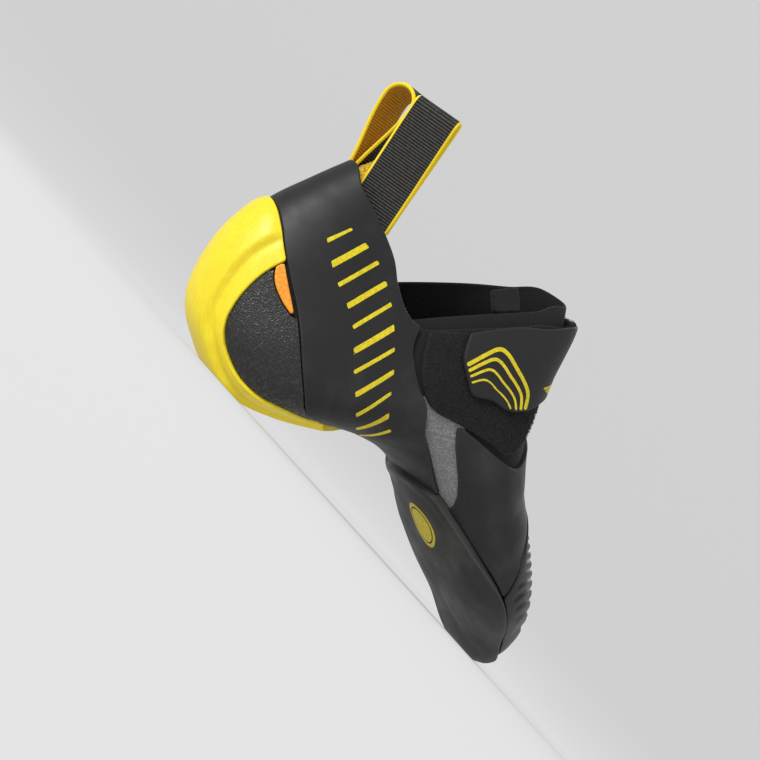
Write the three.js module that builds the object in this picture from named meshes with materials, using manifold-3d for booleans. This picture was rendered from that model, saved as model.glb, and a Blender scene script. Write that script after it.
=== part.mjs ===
// A climbing shoe for the right foot, standing empty on heel and toe.
// It is a soft slipper with a half sole, a wrapped rubber heel, a tension band from behind the heel
// down to the arch, one strap over the instep and two webbing loops to pull it on.
// The origin is in the middle of the heel's flat spot on the floor. +X runs to the toe,
// +Y to the inner side with the big toe, and +Z up. All lengths are in millimetres.

import * as THREE from "three";
import { mergeVertices } from "three/addons/utils/BufferGeometryUtils.js";
import Module from "manifold-3d";

const wasm = await Module();
wasm.setup();

// Driving sizes of the last
const lastLength = 230;
const ballWidth = 90;
const heelWidth = 62;
const archRise = 28;
const heelHeight = 92;
const instepHeight = 122;
const lastGround = 3.2;
const tipRise = 0.4;

// Thicknesses of the layers
const upperWall = 2;
const soleThickness = 4;
const heelThickness = 4.4;
const flangeThickness = 2.3;
const bandThickness = 1.8;
const panelThickness = 1.3;
const toeThickness = 2;
const patchThickness = 1.3;
const strapThickness = 1.8;
const insoleThickness = 2;
const tongueThickness = 1.5;
const tabThickness = 2.6;
const tabWidth = 18;
const clearance = 0.3;
const joinDepth = 0.1;

// Sizes of the small pieces and of the opening underneath
const insoleEdge = 7;
const heelWrap = 9;
const openingLength = 64;
const openingWidth = 40;
const throatLength = 34;
const throatWidth = 26;
const webWidth = 20;
const webThickness = 1.4;
const loopHeight = 54;
const loopFoot = 3.4;
const loopInset = 3.2;
const loopTuck = 7;

// How finely the form is divided
const ringsPerSection = 1.27;
const ringSides = 26;
const curveSteps = 1.15;

// Sections of the last, from the toe tip under the foot and round the heel to above the collar.
// x places a section's lowest or rearmost point and topX its upper one, as shares of lastLength.
// arch, back and top raise them, as shares of archRise, heelHeight and instepHeight.
// bend moves the section to the inner side, as a share of ballWidth, and fore blends its half width
// from the heel's to the ball's. outer and inner are shares of that half width, wide says how far up
// the section is widest, and round and crown are the powers of its lower and upper curve.
const sectionColumns = [
  "x", "arch", "back", "topX", "top", "bend", "fore", "outer", "inner", "wide", "round", "crown",
];
const sectionRows = [
  [0.832, 0.1, 0, 0.837, 0.107, 0.44, 1, 0.05, 0.055, 0.5, 2.2, 2],
  [0.823, 0.007, 0, 0.824, 0.188, 0.42, 1, 0.253, 0.264, 0.45, 2.3, 2],
  [0.8, -0.011, 0, 0.791, 0.245, 0.361, 1, 0.453, 0.431, 0.42, 2.5, 2],
  [0.755, 0.036, 0, 0.741, 0.303, 0.278, 1, 0.676, 0.62, 0.4, 2.7, 2],
  [0.686, 0.235, 0, 0.67, 0.366, 0.19, 1, 0.853, 0.811, 0.38, 2.8, 2],
  [0.6, 0.4, 0, 0.589, 0.439, 0.12, 1, 0.962, 0.947, 0.36, 2.8, 2],
  [0.509, 0.61, 0, 0.513, 0.53, 0.078, 1, 0.964, 0.951, 0.36, 2.6, 1.95],
  [0.427, 0.85, 0, 0.453, 0.63, 0.048, 0.8, 0.974, 0.953, 0.38, 2.4, 1.9],
  [0.347, 1, 0, 0.413, 0.727, 0.017, 0.5, 1.008, 0.974, 0.4, 2.3, 1.9],
  [0.264, 0.955, 0, 0.388, 0.82, -0.003, 0.2, 1.053, 0.997, 0.4, 2.2, 1.9],
  [0.178, 0.66, 0, 0.374, 0.9, -0.017, 0, 1.077, 1.003, 0.38, 2.2, 1.9],
  [0.089, 0.225, 0, 0.361, 0.967, -0.017, 0, 1.077, 1.013, 0.36, 2.5, 1.9],
  [0.009, 0, 0, 0.3465, 1.013, 0, 0, 1.058, 1.013, 0.34, 2.8, 1.9],
  [-0.065, 0, 0.045, 0.333, 1.05, 0.027, 0, 0.997, 0.97, 0.33, 2.6, 1.9],
  [-0.125, 0, 0.147, 0.32, 1.08, 0.056, 0, 0.89, 0.84, 0.34, 2.2, 1.9],
  [-0.157, 0, 0.363, 0.3065, 1.115, 0.072, 0, 0.732, 0.71, 0.36, 2.2, 1.9],
  [-0.156, 0, 0.597, 0.293, 1.148, 0.08, 0, 0.603, 0.639, 0.4, 2.2, 1.9],
  [-0.131, 0, 0.812, 0.28, 1.18, 0.087, 0, 0.542, 0.587, 0.44, 2.2, 1.9],
  [-0.104, 0, 1.009, 0.267, 1.213, 0.089, 0, 0.516, 0.548, 0.48, 2.2, 1.9],
  [-0.076, 0, 1.2, 0.254, 1.246, 0.089, 0, 0.5, 0.53, 0.5, 2.2, 1.9],
];
const sections = sectionRows.map((row) =>
  Object.fromEntries(sectionColumns.map((name, i) => [name, row[i]])),
);

// Lines drawn on the shoe as seen from its side.
// Columns: x as a share of lastLength, then height as a share of heelHeight and of instepHeight.
const collarLine = [
  [-0.25, 1.12, 0], [-0.17, 1.09, 0], [-0.13, 1.06, 0], [-0.108, 1.03, 0], [-0.088, 0.975, 0], [-0.04, 0.935, 0],
  [0.02, 0.875, 0], [0.055, 0.81, 0], [0.09, 0.765, 0], [0.118, 0, 0.572], [0.142, 0, 0.6],
  [0.185, 0, 0.685], [0.245, 0, 0.8], [0.29, 0, 0.885], [0.33, 0, 0.935], [0.4, 0, 0.97],
  [0.5, 0, 1],
];
const bandRearLine = [
  [-0.26, 0.8, 0], [-0.169, 0.685, 0], [-0.135, 0.615, 0], [-0.109, 0.554, 0], [-0.074, 0.489, 0],
  [-0.032, 0.417, 0], [0.03, 0.284, 0], [0.076, 0.204, 0], [0.117, 0.152, 0], [0.174, 0.054, 0],
  [0.226, -0.087, 0],
];
const bandFrontLine = [
  [0.098, 0, 0.84], [0.12, 0, 0.64], [0.133, 0, 0.53], [0.157, 0, 0.482], [0.187, 0, 0.447],
  [0.22, 0, 0.428], [0.259, 0, 0.375], [0.306, 0, 0.341], [0.356, 0, 0.305], [0.412, 0, 0.268],
  [0.49, 0, 0.21], [0.56, 0, 0.13],
];
const soleEdgeLine = [
  [0.3, 0, 0.3], [0.37, 0, 0.288], [0.439, 0, 0.27], [0.504, 0, 0.246], [0.59, 0, 0.215],
  [0.657, 0, 0.172], [0.71, 0, 0.122], [0.765, 0, 0.081], [0.81, 0, 0.062], [0.9, 0, 0.055],
];
const vampRearLine = [
  [0.45, 0, 0.76], [0.452, 0, 0.66], [0.443, 0, 0.55], [0.425, 0, 0.508], [0.375, 0, 0.49],
  [0.325, 0, 0.478], [0.291, 0, 0.462], [0.31, 0, 0.421], [0.344, 0, 0.381], [0.373, 0, 0.349],
  [0.4, 0, 0.31], [0.414, 0, 0.262], [0.417, 0, 0.1],
];
const toeRearLine = [
  [0.545, 0, 0.6], [0.555, 0, 0.48], [0.575, 0, 0.36], [0.6, 0, 0.24], [0.62, 0, 0.1],
];
const patchOutline = [
  [0.141, 0, 0.588], [0.162, 0, 0.513], [0.185, 0, 0.466], [0.214, 0, 0.441], [0.243, 0, 0.44],
  [0.28, 0, 0.463], [0.315, 0, 0.486], [0.356, 0, 0.505], [0.39, 0, 0.517], [0.405, 0, 0.58],
  [0.4, 0, 0.67], [0.38, 0, 0.72], [0.33, 0, 0.7], [0.262, 0, 0.665], [0.225, 0, 0.69], [0.19, 0, 0.672],
];
const strapOutline = [
  [0.194, 0, 0.678], [0.209, 0, 0.612], [0.236, 0, 0.577], [0.262, 0, 0.557], [0.295, 0, 0.59],
  [0.33, 0, 0.607], [0.361, 0, 0.656], [0.39, 0, 0.735], [0.44, 0, 0.8], [0.455, 0, 0.92],
  [0.4, 0, 1.02], [0.348, 0, 0.965], [0.303, 0, 0.885], [0.252, 0, 0.805],
];
const strapSeatOutline = [
  [0.22, 0, 0.62], [0.26, 0, 0.55], [0.32, 0, 0.6], [0.36, 0, 0.66], [0.33, 0, 0.73], [0.25, 0, 0.7],
];
const tongueOutline = [
  [0.1, 0, 0.56], [0.124, 0, 0.616], [0.163, 0, 0.7], [0.226, 0, 0.828], [0.276, 0, 0.92],
  [0.32, 0, 1.003], [0.42, 0, 1.02], [0.54, 0, 0.74], [0.5, 0, 0.48], [0.3, 0, 0.46],
  [0.17, 0, 0.46], [0.12, 0, 0.51],
];
const tongueTabOutline = [
  [0.222, 0, 0.79], [0.258, 0, 0.864], [0.226, 0, 0.925], [0.19, 0, 0.851],
];
const heelTabOutline = [
  [-0.2, 0.84, 0], [-0.08, 0.8, 0], [-0.06, 0.95, 0], [-0.085, 1.12, 0], [-0.2, 1.16, 0],
];
const inlayOutline = [
  [-0.109, 0.542, 0], [-0.074, 0.476, 0], [-0.034, 0.404, 0], [-0.045, 0.4, 0], [-0.066, 0.412, 0],
  [-0.088, 0.44, 0], [-0.102, 0.488, 0],
];

// Lines drawn on the sole as seen from below, as shares of lastLength and ballWidth
const soleRearLine = [
  [0.47, -0.7], [0.45, -0.5], [0.427, -0.36], [0.376, -0.259], [0.341, -0.12], [0.35, 0.07],
  [0.386, 0.24], [0.4, 0.38], [0.41, 0.65],
];
const heelFrontLine = [
  [0.03, -0.6], [0.06, -0.4], [0.085, -0.32], [0.117, -0.28], [0.142, -0.223], [0.17, -0.14],
  [0.205, -0.029], [0.235, 0.07], [0.25, 0.16], [0.22, 0.26], [0.16, 0.35], [0.1, 0.5],
];
const heelEdgeLine = [
  [-0.26, -0.07], [-0.16, -0.072], [-0.149, -0.079], [-0.143, -0.091], [-0.131, -0.11], [-0.112, -0.125],
  [-0.087, -0.138], [-0.057, -0.158], [-0.018, -0.195], [0.026, -0.24], [0.073, -0.263], [0.14, -0.235],
  [0.2, -0.29], [0.3, -0.5],
];
const grooveLine = [
  [-0.26, -0.01], [-0.17, -0.015], [-0.163, -0.027], [-0.156, -0.042], [-0.14, -0.068], [-0.12, -0.083],
  [-0.095, -0.092], [-0.069, -0.114], [-0.033, -0.134], [0.013, -0.163], [0.085, -0.165], [0.13, -0.19],
  [0.2, -0.27], [0.3, -0.5],
];

// The pull loops. side is -1 on the outer side of the heel and 1 on the inner one, place and spread
// put a loop's foot as shares of lastLength and heelWidth, and bulge is a share of webWidth.
const loopColumns = ["side", "place", "spread", "bulge"];
const loopRows = [
  [-1, -0.045, 0.194, 0.35],
  [1, -0.063, 0.247, 0.75],
];

// Interpolate the section table smoothly at any place k between its rows
function sectionAt(k) {
  const last = sections.length - 1;
  const i = Math.min(last - 1, Math.floor(k));
  const t = k - i;
  const row = (n) => sections[Math.max(0, Math.min(last, n))];
  const result = {};
  for (const name of sectionColumns) {
    const [a, b, c, d] = [row(i - 1)[name], row(i)[name], row(i + 1)[name], row(i + 2)[name]];
    const cubic = (3 * b - a - 3 * c + d) * t * t * t;
    const square = (2 * a - 5 * b + 4 * c - d) * t * t;
    result[name] = 0.5 * (2 * b + (c - a) * t + square + cubic);
  }
  return result;
}

// The lowest point of a section, in the shoe's middle surface
function sectionBottom(s) {
  const height = lastGround + s.arch * archRise + s.back * heelHeight;
  return new THREE.Vector3(s.x * lastLength, s.bend * ballWidth, height);
}

// A point of the last's surface at section k and angle around it
function lastPoint(k, angle) {
  const s = sectionAt(k);
  const bottom = sectionBottom(s);
  const top = new THREE.Vector3(s.topX * lastLength, bottom.y, s.top * instepHeight);
  const c = Math.cos(angle);
  const n = Math.sin(angle);
  const halfWidth = (heelWidth + (ballWidth - heelWidth) * s.fore) / 2;
  const side = (n < 0 ? s.outer : s.inner) * halfWidth;
  const power = 2 / (c > 0 ? s.round : s.crown);
  const fall = Math.pow(Math.abs(c), power);
  const up = c > 0 ? s.wide * (1 - fall) : s.wide + (1 - s.wide) * fall;
  const point = bottom.lerp(top, up);
  point.y += Math.sign(n) * Math.pow(Math.abs(n), power) * side;
  return point;
}

// Grid of the last with its outward normals, shared by every layer so that none crosses another
const ringCount = Math.round((sections.length - 1) * ringsPerSection);
function lastGrid() {
  const points = [];
  const faces = [];
  for (let i = 0; i <= ringCount; i++) {
    const k = (i / ringCount) * (sections.length - 1);
    for (let j = 0; j < ringSides; j++) {
      points.push(lastPoint(k, (j / ringSides) * 2 * Math.PI));
    }
  }
  const tip = new THREE.Vector3();
  for (let j = 0; j < ringSides; j++) tip.addScaledVector(points[j], 1 / ringSides);
  tip.x += tipRise;
  points.push(tip);
  const tipIndex = points.length - 1;
  for (let j = 0; j < ringSides; j++) {
    const next = (j + 1) % ringSides;
    faces.push(tipIndex, j, next);
    for (let i = 0; i < ringCount; i++) {
      const a = i * ringSides + j;
      const b = i * ringSides + next;
      faces.push(a, a + ringSides, b, b, a + ringSides, b + ringSides);
    }
  }
  const geometry = new THREE.BufferGeometry().setFromPoints(points);
  geometry.setIndex(faces);
  geometry.computeVertexNormals();
  return geometry;
}
const grid = lastGrid();

// Turn a closed three.js geometry into a solid that can be joined and cut
function toSolid(geometry) {
  const bare = geometry.clone();
  bare.deleteAttribute("normal");
  bare.deleteAttribute("uv");
  const merged = mergeVertices(bare, 1e-5);
  return new wasm.Manifold(
    new wasm.Mesh({
      numProp: 3,
      vertProperties: new Float32Array(merged.attributes.position.array),
      triVerts: new Uint32Array(merged.index.array),
    }),
  );
}

// The last grown outward by an offset, as a solid closed above the collar
function form(offset) {
  const place = grid.attributes.position;
  const normal = grid.attributes.normal;
  const points = [];
  for (let i = 0; i < place.count; i++) {
    const point = new THREE.Vector3().fromBufferAttribute(place, i);
    points.push(point.addScaledVector(new THREE.Vector3().fromBufferAttribute(normal, i), offset));
  }
  const faces = Array.from(grid.index.array);
  const first = ringCount * ringSides;
  const lid = new THREE.Vector3();
  for (let j = 0; j < ringSides; j++) lid.addScaledVector(points[first + j], 1 / ringSides);
  points.push(lid);
  for (let j = 0; j < ringSides; j++) {
    faces.push(points.length - 1, first + ((j + 1) % ringSides), first + j);
  }
  const geometry = new THREE.BufferGeometry().setFromPoints(points);
  geometry.setIndex(faces);
  return toSolid(geometry);
}

// A layer between two offsets of the last
function layer(inside, outside) {
  return form(outside).subtract(form(inside));
}

// Change a line's shares into millimetres
function sideLine(rows) {
  return rows.map(
    ([x, heel, instep]) => new THREE.Vector2(x * lastLength, heel * heelHeight + instep * instepHeight),
  );
}
function planLine(rows) {
  return rows.map(([x, y]) => new THREE.Vector2(x * lastLength, y * ballWidth));
}

// Draw a smooth open or closed curve through a line's points
function smooth(points, closed = false) {
  const path = closed ? [...points, points[0]] : points;
  const curve = new THREE.SplineCurve(path).getPoints(Math.round(path.length * curveSteps));
  return closed ? curve.slice(0, -1) : curve;
}

// Move an open or closed line sideways to its left
function shift(points, distance, closed = false) {
  return points.map((point, i) => {
    const n = points.length;
    const before = closed ? points[(i - 1 + n) % n] : points[Math.max(0, i - 1)];
    const after = closed ? points[(i + 1) % n] : points[Math.min(n - 1, i + 1)];
    const first = point.equals(before) ? after.clone().sub(point) : point.clone().sub(before);
    const second = after.equals(point) ? first.clone() : after.clone().sub(point);
    const mitre = first.normalize().add(second.normalize());
    const stretch = distance * Math.min(3, 2 / mitre.lengthSq());
    return new THREE.Vector2(point.x - mitre.y * stretch, point.y + mitre.x * stretch);
  });
}

// Grow a closed outline, whichever way round it is drawn
function grow(points, gap) {
  return shift(points, THREE.ShapeUtils.isClockWise(points) ? gap : -gap, true);
}

// Solids that reach through the whole shoe, drawn from the side or from below
const reach = 2 * ballWidth;
const sky = 2 * instepHeight;
function sidePrism(points, fromY = -reach, toY = reach) {
  const depth = toY - fromY;
  const geometry = new THREE.ExtrudeGeometry(new THREE.Shape(points), { depth, bevelEnabled: false });
  return toSolid(geometry.rotateX(Math.PI / 2).translate(0, toY, 0));
}
function planPrism(points, fromZ = -sky, toZ = sky) {
  const depth = toZ - fromZ;
  const geometry = new THREE.ExtrudeGeometry(new THREE.Shape(points), { depth, bevelEnabled: false });
  return toSolid(geometry.translate(0, 0, fromZ));
}
const corner = (x, y) => new THREE.Vector2(x, y);

// Everything below the collar line, lowered or raised by a gap
function belowCollar(rise = 0) {
  const line = smooth(sideLine(collarLine)).map((p) => corner(p.x, p.y + rise));
  const right = line.at(-1);
  return sidePrism([...line, corner(lastLength, right.y), corner(lastLength, -sky), corner(line[0].x, -sky)]);
}

// The outsole's region, grown by a gap
function soleRegion(gap = 0) {
  const rear = shift(smooth(planLine(soleRearLine)), gap);
  const plan = planPrism([...rear, corner(2 * lastLength, rear.at(-1).y), corner(2 * lastLength, rear[0].y)]);
  const edge = shift(smooth(sideLine(soleEdgeLine)), gap);
  const side = sidePrism([...edge, corner(edge.at(-1).x, -sky), corner(edge[0].x, -sky)]);
  return plan.intersect(side);
}

// Everything below a line that runs a given height over the sections' lowest points
function belowBottom(rise) {
  const line = [];
  for (let k = 1; k <= 13; k += 0.5) {
    const bottom = sectionBottom(sectionAt(k));
    line.push(corner(bottom.x, bottom.z + rise));
  }
  return sidePrism([...line, corner(line.at(-1).x, -sky), corner(line[0].x, -sky)]);
}

// The heel rubber's region behind and below the band, grown by a gap
function behindBand(gap = 0) {
  const rear = shift(smooth(sideLine(bandRearLine)), gap);
  return sidePrism([...rear, corner(rear.at(-1).x, -sky), corner(rear[0].x, -sky)]);
}
function underHeel(gap = 0) {
  const front = shift(smooth(planLine(heelFrontLine)), -gap);
  const plan = planPrism([corner(-lastLength, front[0].y), ...front, corner(-lastLength, front.at(-1).y)]);
  return plan.intersect(belowBottom(heelWrap + gap));
}

function rearRegion(gap = 0) {
  return behindBand(gap).add(underHeel(gap));
}

// Everything outside of a line round the heel, on the outer side and mirrored on the inner one
function outsideHeelLine(rows, gap = 0) {
  const line = smooth(planLine(rows));
  const mirrored = line.map((p) => corner(p.x, 2 * middleAt(p.x / lastLength) - p.y));
  const outer = shift(line, -gap);
  const inner = shift(mirrored, gap);
  return planPrism([...outer, corner(outer.at(-1).x, -reach), corner(outer[0].x, -reach)])
    .add(planPrism([...inner, corner(inner.at(-1).x, reach), corner(inner[0].x, reach)]));
}

function bandRegion(gap = 0) {
  const front = shift(smooth(sideLine(bandFrontLine)), gap);
  const rear = shift(smooth(sideLine(bandRearLine)), clearance).reverse();
  const under = corner(front.at(-1).x, -sky);
  return sidePrism([corner(rear.at(-1).x, sky), corner(front[0].x, sky), ...front, under,
    corner(rear[0].x, -sky), ...rear]);
}

function vampRegion() {
  const rear = smooth(sideLine(vampRearLine));
  return sidePrism([corner(rear[0].x, sky), corner(lastLength, sky), corner(lastLength, rear.at(-1).y),
    ...rear.reverse()]);
}

function toeRegion(gap = 0) {
  const rear = shift(smooth(sideLine(toeRearLine)), -gap);
  return sidePrism([corner(rear[0].x, sky), corner(2 * lastLength, sky),
    corner(2 * lastLength, -sky), corner(rear.at(-1).x, -sky), ...rear.reverse()]);
}

const closed = (rows, gap = 0) => grow(smooth(sideLine(rows), true), gap);
const aboveFloor = planPrism(
  [corner(-lastLength, -reach), corner(2 * lastLength, -reach), corner(2 * lastLength, reach),
    corner(-lastLength, reach)], 0, sky,
);

// The middle of the shoe at a share of its length, from the sections
function middleAt(share) {
  let best = sections[1];
  for (let k = 1; k < 15.5; k += 0.1) {
    const s = sectionAt(k);
    if (Math.abs(s.x - share) < Math.abs(best.x - share)) best = s;
  }
  return best.bend * ballWidth;
}

// The opening underneath the forefoot, an oval that follows the shoe's bend
function openingOutline(gap = 0) {
  const centre = 0.6 * lastLength;
  const points = [];
  for (let i = 0; i < 28; i++) {
    const angle = (i / 28) * 2 * Math.PI;
    const x = centre + (openingLength / 2 - gap) * Math.cos(angle);
    const y = middleAt(x / lastLength) + (openingWidth / 2 - gap) * Math.sin(angle);
    points.push(corner(x, y));
  }
  return points;
}

// The throat, a rounded slot over the instep that the tongue closes from inside
function throatOutline() {
  const rear = 0.25 * lastLength;
  const front = 0.285 * lastLength + throatLength - throatWidth / 2;
  const y = middleAt(0.35);
  const points = [corner(rear, y - throatWidth / 2)];
  for (let i = 0; i <= 8; i++) {
    const angle = -Math.PI / 2 + (i / 8) * Math.PI;
    points.push(corner(front + (throatWidth / 2) * Math.cos(angle), y + (throatWidth / 2) * Math.sin(angle)));
  }
  points.push(corner(rear, y + throatWidth / 2));
  return points;
}

// Depths of the inner layers below the last's surface
const innerFace = upperWall + clearance;
const insoleFace = innerFace + insoleThickness;
const underfoot = lastGround + archRise;

// Upper: one wall, open at the collar, the throat and underneath
const upper = layer(-upperWall, 0)
  .intersect(belowCollar())
  .subtract(planPrism(openingOutline(), -sky, underfoot))
  .subtract(planPrism(throatOutline(), underfoot + archRise, sky));

// Insole: a thin sheet inside with a raised field that fills the opening
function insoleSolid() {
  const sheet = layer(-insoleFace, -innerFace).intersect(belowBottom(insoleEdge));
  const field = layer(-innerFace - joinDepth, -clearance)
    .intersect(planPrism(openingOutline(clearance), -sky, underfoot));
  return sheet.add(field);
}

// Rubber that lies on the upper
const outsole = layer(clearance, clearance + soleThickness).intersect(soleRegion()).intersect(aboveFloor);

const heelRubber = layer(clearance, clearance + heelThickness)
  .subtract(outsideHeelLine(grooveLine))
  .add(layer(clearance, clearance + flangeThickness))
  .intersect(rearRegion())
  .subtract(outsideHeelLine(heelEdgeLine))
  .intersect(aboveFloor);

const tensionBand = layer(clearance, clearance + bandThickness)
  .intersect(bandRegion())
  .intersect(belowCollar())
  .subtract(soleRegion(clearance))
  .subtract(underHeel(clearance));

const heelSide = layer(clearance, clearance + panelThickness)
  .intersect(rearRegion())
  .intersect(outsideHeelLine(heelEdgeLine, clearance));
const heelMiddle = sections[15].bend * ballWidth;
const floorHalf = (fromY, toY) =>
  sidePrism([corner(-lastLength, -sky), corner(lastLength, -sky), corner(lastLength, sky),
    corner(-lastLength, sky)], fromY, toY);
const heelPanelLateral = heelSide
  .intersect(floorHalf(-reach, heelMiddle))
  .subtract(sidePrism(closed(inlayOutline, clearance)));
const heelPanelMedial = heelSide.intersect(floorHalf(heelMiddle, reach));
const heelInlay = layer(clearance, clearance + panelThickness + clearance)
  .intersect(sidePrism(closed(inlayOutline), -reach, heelMiddle))
  .intersect(outsideHeelLine(heelEdgeLine, clearance));

const toeRubber = layer(clearance, clearance + toeThickness)
  .intersect(toeRegion())
  .subtract(soleRegion(clearance));
const vampPanel = layer(clearance, clearance + panelThickness)
  .intersect(vampRegion())
  .subtract(toeRegion(clearance))
  .subtract(soleRegion(clearance));

// The closure: a fuzzy patch on the outer side and the strap that comes over the instep onto it
const closureMiddle = middleAt(0.35);
const patchFace = clearance + patchThickness;
const strapFace = patchFace + clearance;
const loopPatch = layer(clearance, patchFace)
  .intersect(sidePrism(closed(patchOutline), -reach, closureMiddle))
  .intersect(belowCollar(-clearance))
  .subtract(bandRegion(clearance));
const strap = layer(strapFace, strapFace + strapThickness)
  .intersect(sidePrism(closed(strapOutline)))
  .add(layer(clearance, strapFace + joinDepth).intersect(sidePrism(closed(strapSeatOutline), closureMiddle, reach)));

// Cloth that stands above the collar, behind the upper's wall
const tongue = layer(-innerFace - tongueThickness, -innerFace)
  .intersect(sidePrism(closed(tongueOutline)));
const tongueTab = layer(-innerFace - tabThickness, -upperWall)
  .intersect(sidePrism(sideLine(tongueTabOutline), -reach, closureMiddle))
  .subtract(sidePrism(closed(tongueOutline, clearance)));
const heelTab = layer(-innerFace - tabThickness, -innerFace)
  .intersect(sidePrism(closed(heelTabOutline), heelMiddle - tabWidth / 2, heelMiddle + tabWidth / 2));

// A pull loop: a drop-shaped ring of webbing, drawn in its own plane and extruded by its width
function dropOutline(bulge, inset) {
  const half = bulge / 2 - inset;
  const foot = loopFoot / 2 - inset;
  const shoulder = loopHeight - bulge / 2;
  const points = [corner(foot, inset), corner(foot, loopHeight * 0.3)];
  for (let i = 0; i <= 10; i++) {
    const angle = (i / 10) * Math.PI;
    points.push(corner(half * Math.cos(angle), shoulder + half * Math.sin(angle)));
  }
  points.push(corner(-foot, loopHeight * 0.3), corner(-foot, inset));
  return points;
}
function pullLoop(row) {
  const loop = Object.fromEntries(loopColumns.map((name, i) => [name, row[i]]));
  const bulge = loop.bulge * webWidth;
  const shape = new THREE.Shape(dropOutline(bulge, 0));
  shape.holes.push(new THREE.Path(dropOutline(bulge, webThickness)));
  const geometry = new THREE.ExtrudeGeometry(shape, { depth: webWidth, bevelEnabled: false, curveSegments: 1 });
  geometry.translate(-loop.side * loopInset, 0, -webWidth / 2);
  const across = new THREE.Vector3(0.78, 0.59 * loop.side, 0.2).normalize();
  const lean = new THREE.Vector3(-0.3, -0.06, 0.95);
  const face = new THREE.Vector3().crossVectors(lean, across).normalize();
  const up = new THREE.Vector3().crossVectors(across, face);
  geometry.applyMatrix4(new THREE.Matrix4().makeBasis(face, up, across));
  const y = heelMiddle + loop.side * loop.spread * heelWidth;
  geometry.translate(loop.place * lastLength, y, 0.863 * heelHeight);
  return toSolid(geometry);
}
const wallZone = layer(-innerFace, 2 * soleThickness).intersect(belowCollar(clearance));
const tabZone = layer(-innerFace - tabThickness - clearance, 2 * soleThickness).intersect(
  sidePrism(closed(heelTabOutline, clearance), heelMiddle - tabWidth / 2 - clearance,
    heelMiddle + tabWidth / 2 + clearance),
);
const footZone = belowCollar(-loopTuck);
const [pullLoopLateral, pullLoopMedial] = loopRows.map((row) =>
  pullLoop(row).subtract(wallZone).subtract(tabZone).subtract(footZone),
);

// Materials
function material(color, roughness) {
  return new THREE.MeshStandardMaterial({ color, roughness, metalness: 0 });
}
const blackRubber = material(0x1e1e20, 0.62);
const bandRubber = material(0x2a2a2c, 0.55);
const yellowRubber = material(0xe8d21c, 0.5);
const orangeRubber = material(0xe08a12, 0.5);
const panelRubber = material(0x17171a, 0.75);
const greySuede = material(0x6a6a6c, 0.95);
const blackCloth = material(0x121214, 0.9);
const fuzzyCloth = material(0x0d0d10, 1);
const yellowCloth = material(0xd9b414, 0.9);
const webbing = material(0x33332e, 0.85);

// Give a solid its name and look
const shoe = new THREE.Group();
function add(name, body, look) {
  const data = body.getMesh();
  const geometry = new THREE.BufferGeometry();
  geometry.setAttribute("position", new THREE.BufferAttribute(new Float32Array(data.vertProperties), 3));
  geometry.setIndex(new THREE.BufferAttribute(new Uint32Array(data.triVerts), 1));
  geometry.computeVertexNormals();
  const mesh = new THREE.Mesh(geometry, look);
  mesh.name = name;
  shoe.add(mesh);
}
add("upper", upper, greySuede);
add("insole", insoleSolid(), blackCloth);
add("outsole", outsole, blackRubber);
add("heel_rubber", heelRubber, yellowRubber);
add("tension_band", tensionBand, bandRubber);
add("heel_panel_lateral", heelPanelLateral, panelRubber);
add("heel_panel_medial", heelPanelMedial, panelRubber);
add("heel_inlay", heelInlay, orangeRubber);
add("vamp_panel", vampPanel, bandRubber);
add("toe_rubber", toeRubber, blackRubber);
add("loop_patch", loopPatch, fuzzyCloth);
add("strap", strap, blackCloth);
add("tongue", tongue, blackCloth);
add("tongue_tab", tongueTab, blackCloth);
add("heel_tab", heelTab, yellowCloth);
add("pull_loop_lateral", pullLoopLateral, webbing);
add("pull_loop_medial", pullLoopMedial, webbing);

export default shoe;
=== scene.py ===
# A climbing shoe for the right foot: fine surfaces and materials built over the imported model.
# Tables and sizes are in millimetres, as in the source of the part, and meshes are in metres.
import math

import bmesh
import bpy
import numpy as np
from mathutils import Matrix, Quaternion, Vector


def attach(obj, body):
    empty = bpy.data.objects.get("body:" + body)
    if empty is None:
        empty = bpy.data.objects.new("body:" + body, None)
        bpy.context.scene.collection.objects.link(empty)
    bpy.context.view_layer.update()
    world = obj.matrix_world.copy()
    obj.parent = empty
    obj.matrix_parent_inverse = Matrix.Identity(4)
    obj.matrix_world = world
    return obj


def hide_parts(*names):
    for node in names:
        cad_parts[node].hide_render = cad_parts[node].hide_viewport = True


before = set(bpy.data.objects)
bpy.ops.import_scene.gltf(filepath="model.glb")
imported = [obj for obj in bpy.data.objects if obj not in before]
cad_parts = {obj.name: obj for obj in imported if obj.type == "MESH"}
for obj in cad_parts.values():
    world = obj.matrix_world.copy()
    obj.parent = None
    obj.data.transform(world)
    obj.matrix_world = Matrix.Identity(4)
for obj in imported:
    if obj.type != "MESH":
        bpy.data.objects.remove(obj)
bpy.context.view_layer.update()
MM = 0.001

# Driving sizes of the last and thicknesses of its layers, as in the source
LAST_LENGTH = 230.0
BALL_WIDTH = 90.0
HEEL_WIDTH = 62.0
ARCH_RISE = 28.0
HEEL_HEIGHT = 92.0
INSTEP_HEIGHT = 122.0
LAST_GROUND = 3.2
CLEARANCE = 0.3
UPPER_WALL = 2.0
INNER_FACE = UPPER_WALL + CLEARANCE
SOLE_TOP = CLEARANCE + 4.0
HEEL_TOP = CLEARANCE + 4.4
FLANGE_TOP = CLEARANCE + 2.3
BAND_TOP = CLEARANCE + 1.8
PANEL_TOP = CLEARANCE + 1.3
TOE_TOP = CLEARANCE + 2.0
STRAP_BASE = PANEL_TOP + CLEARANCE
STRAP_TOP = STRAP_BASE + 1.8
TONGUE_DEPTH = 1.5
TAB_DEPTH = 2.6
TAB_WIDTH = 18.0
INSOLE_EDGE = 7.0
INSOLE_DEPTH = 2.0
HEEL_WRAP = 9.0
THROAT_LENGTH = 34.0
THROAT_WIDTH = 26.0
WEB_WIDTH = 20.0
WEB_THICKNESS = 1.4
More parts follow.
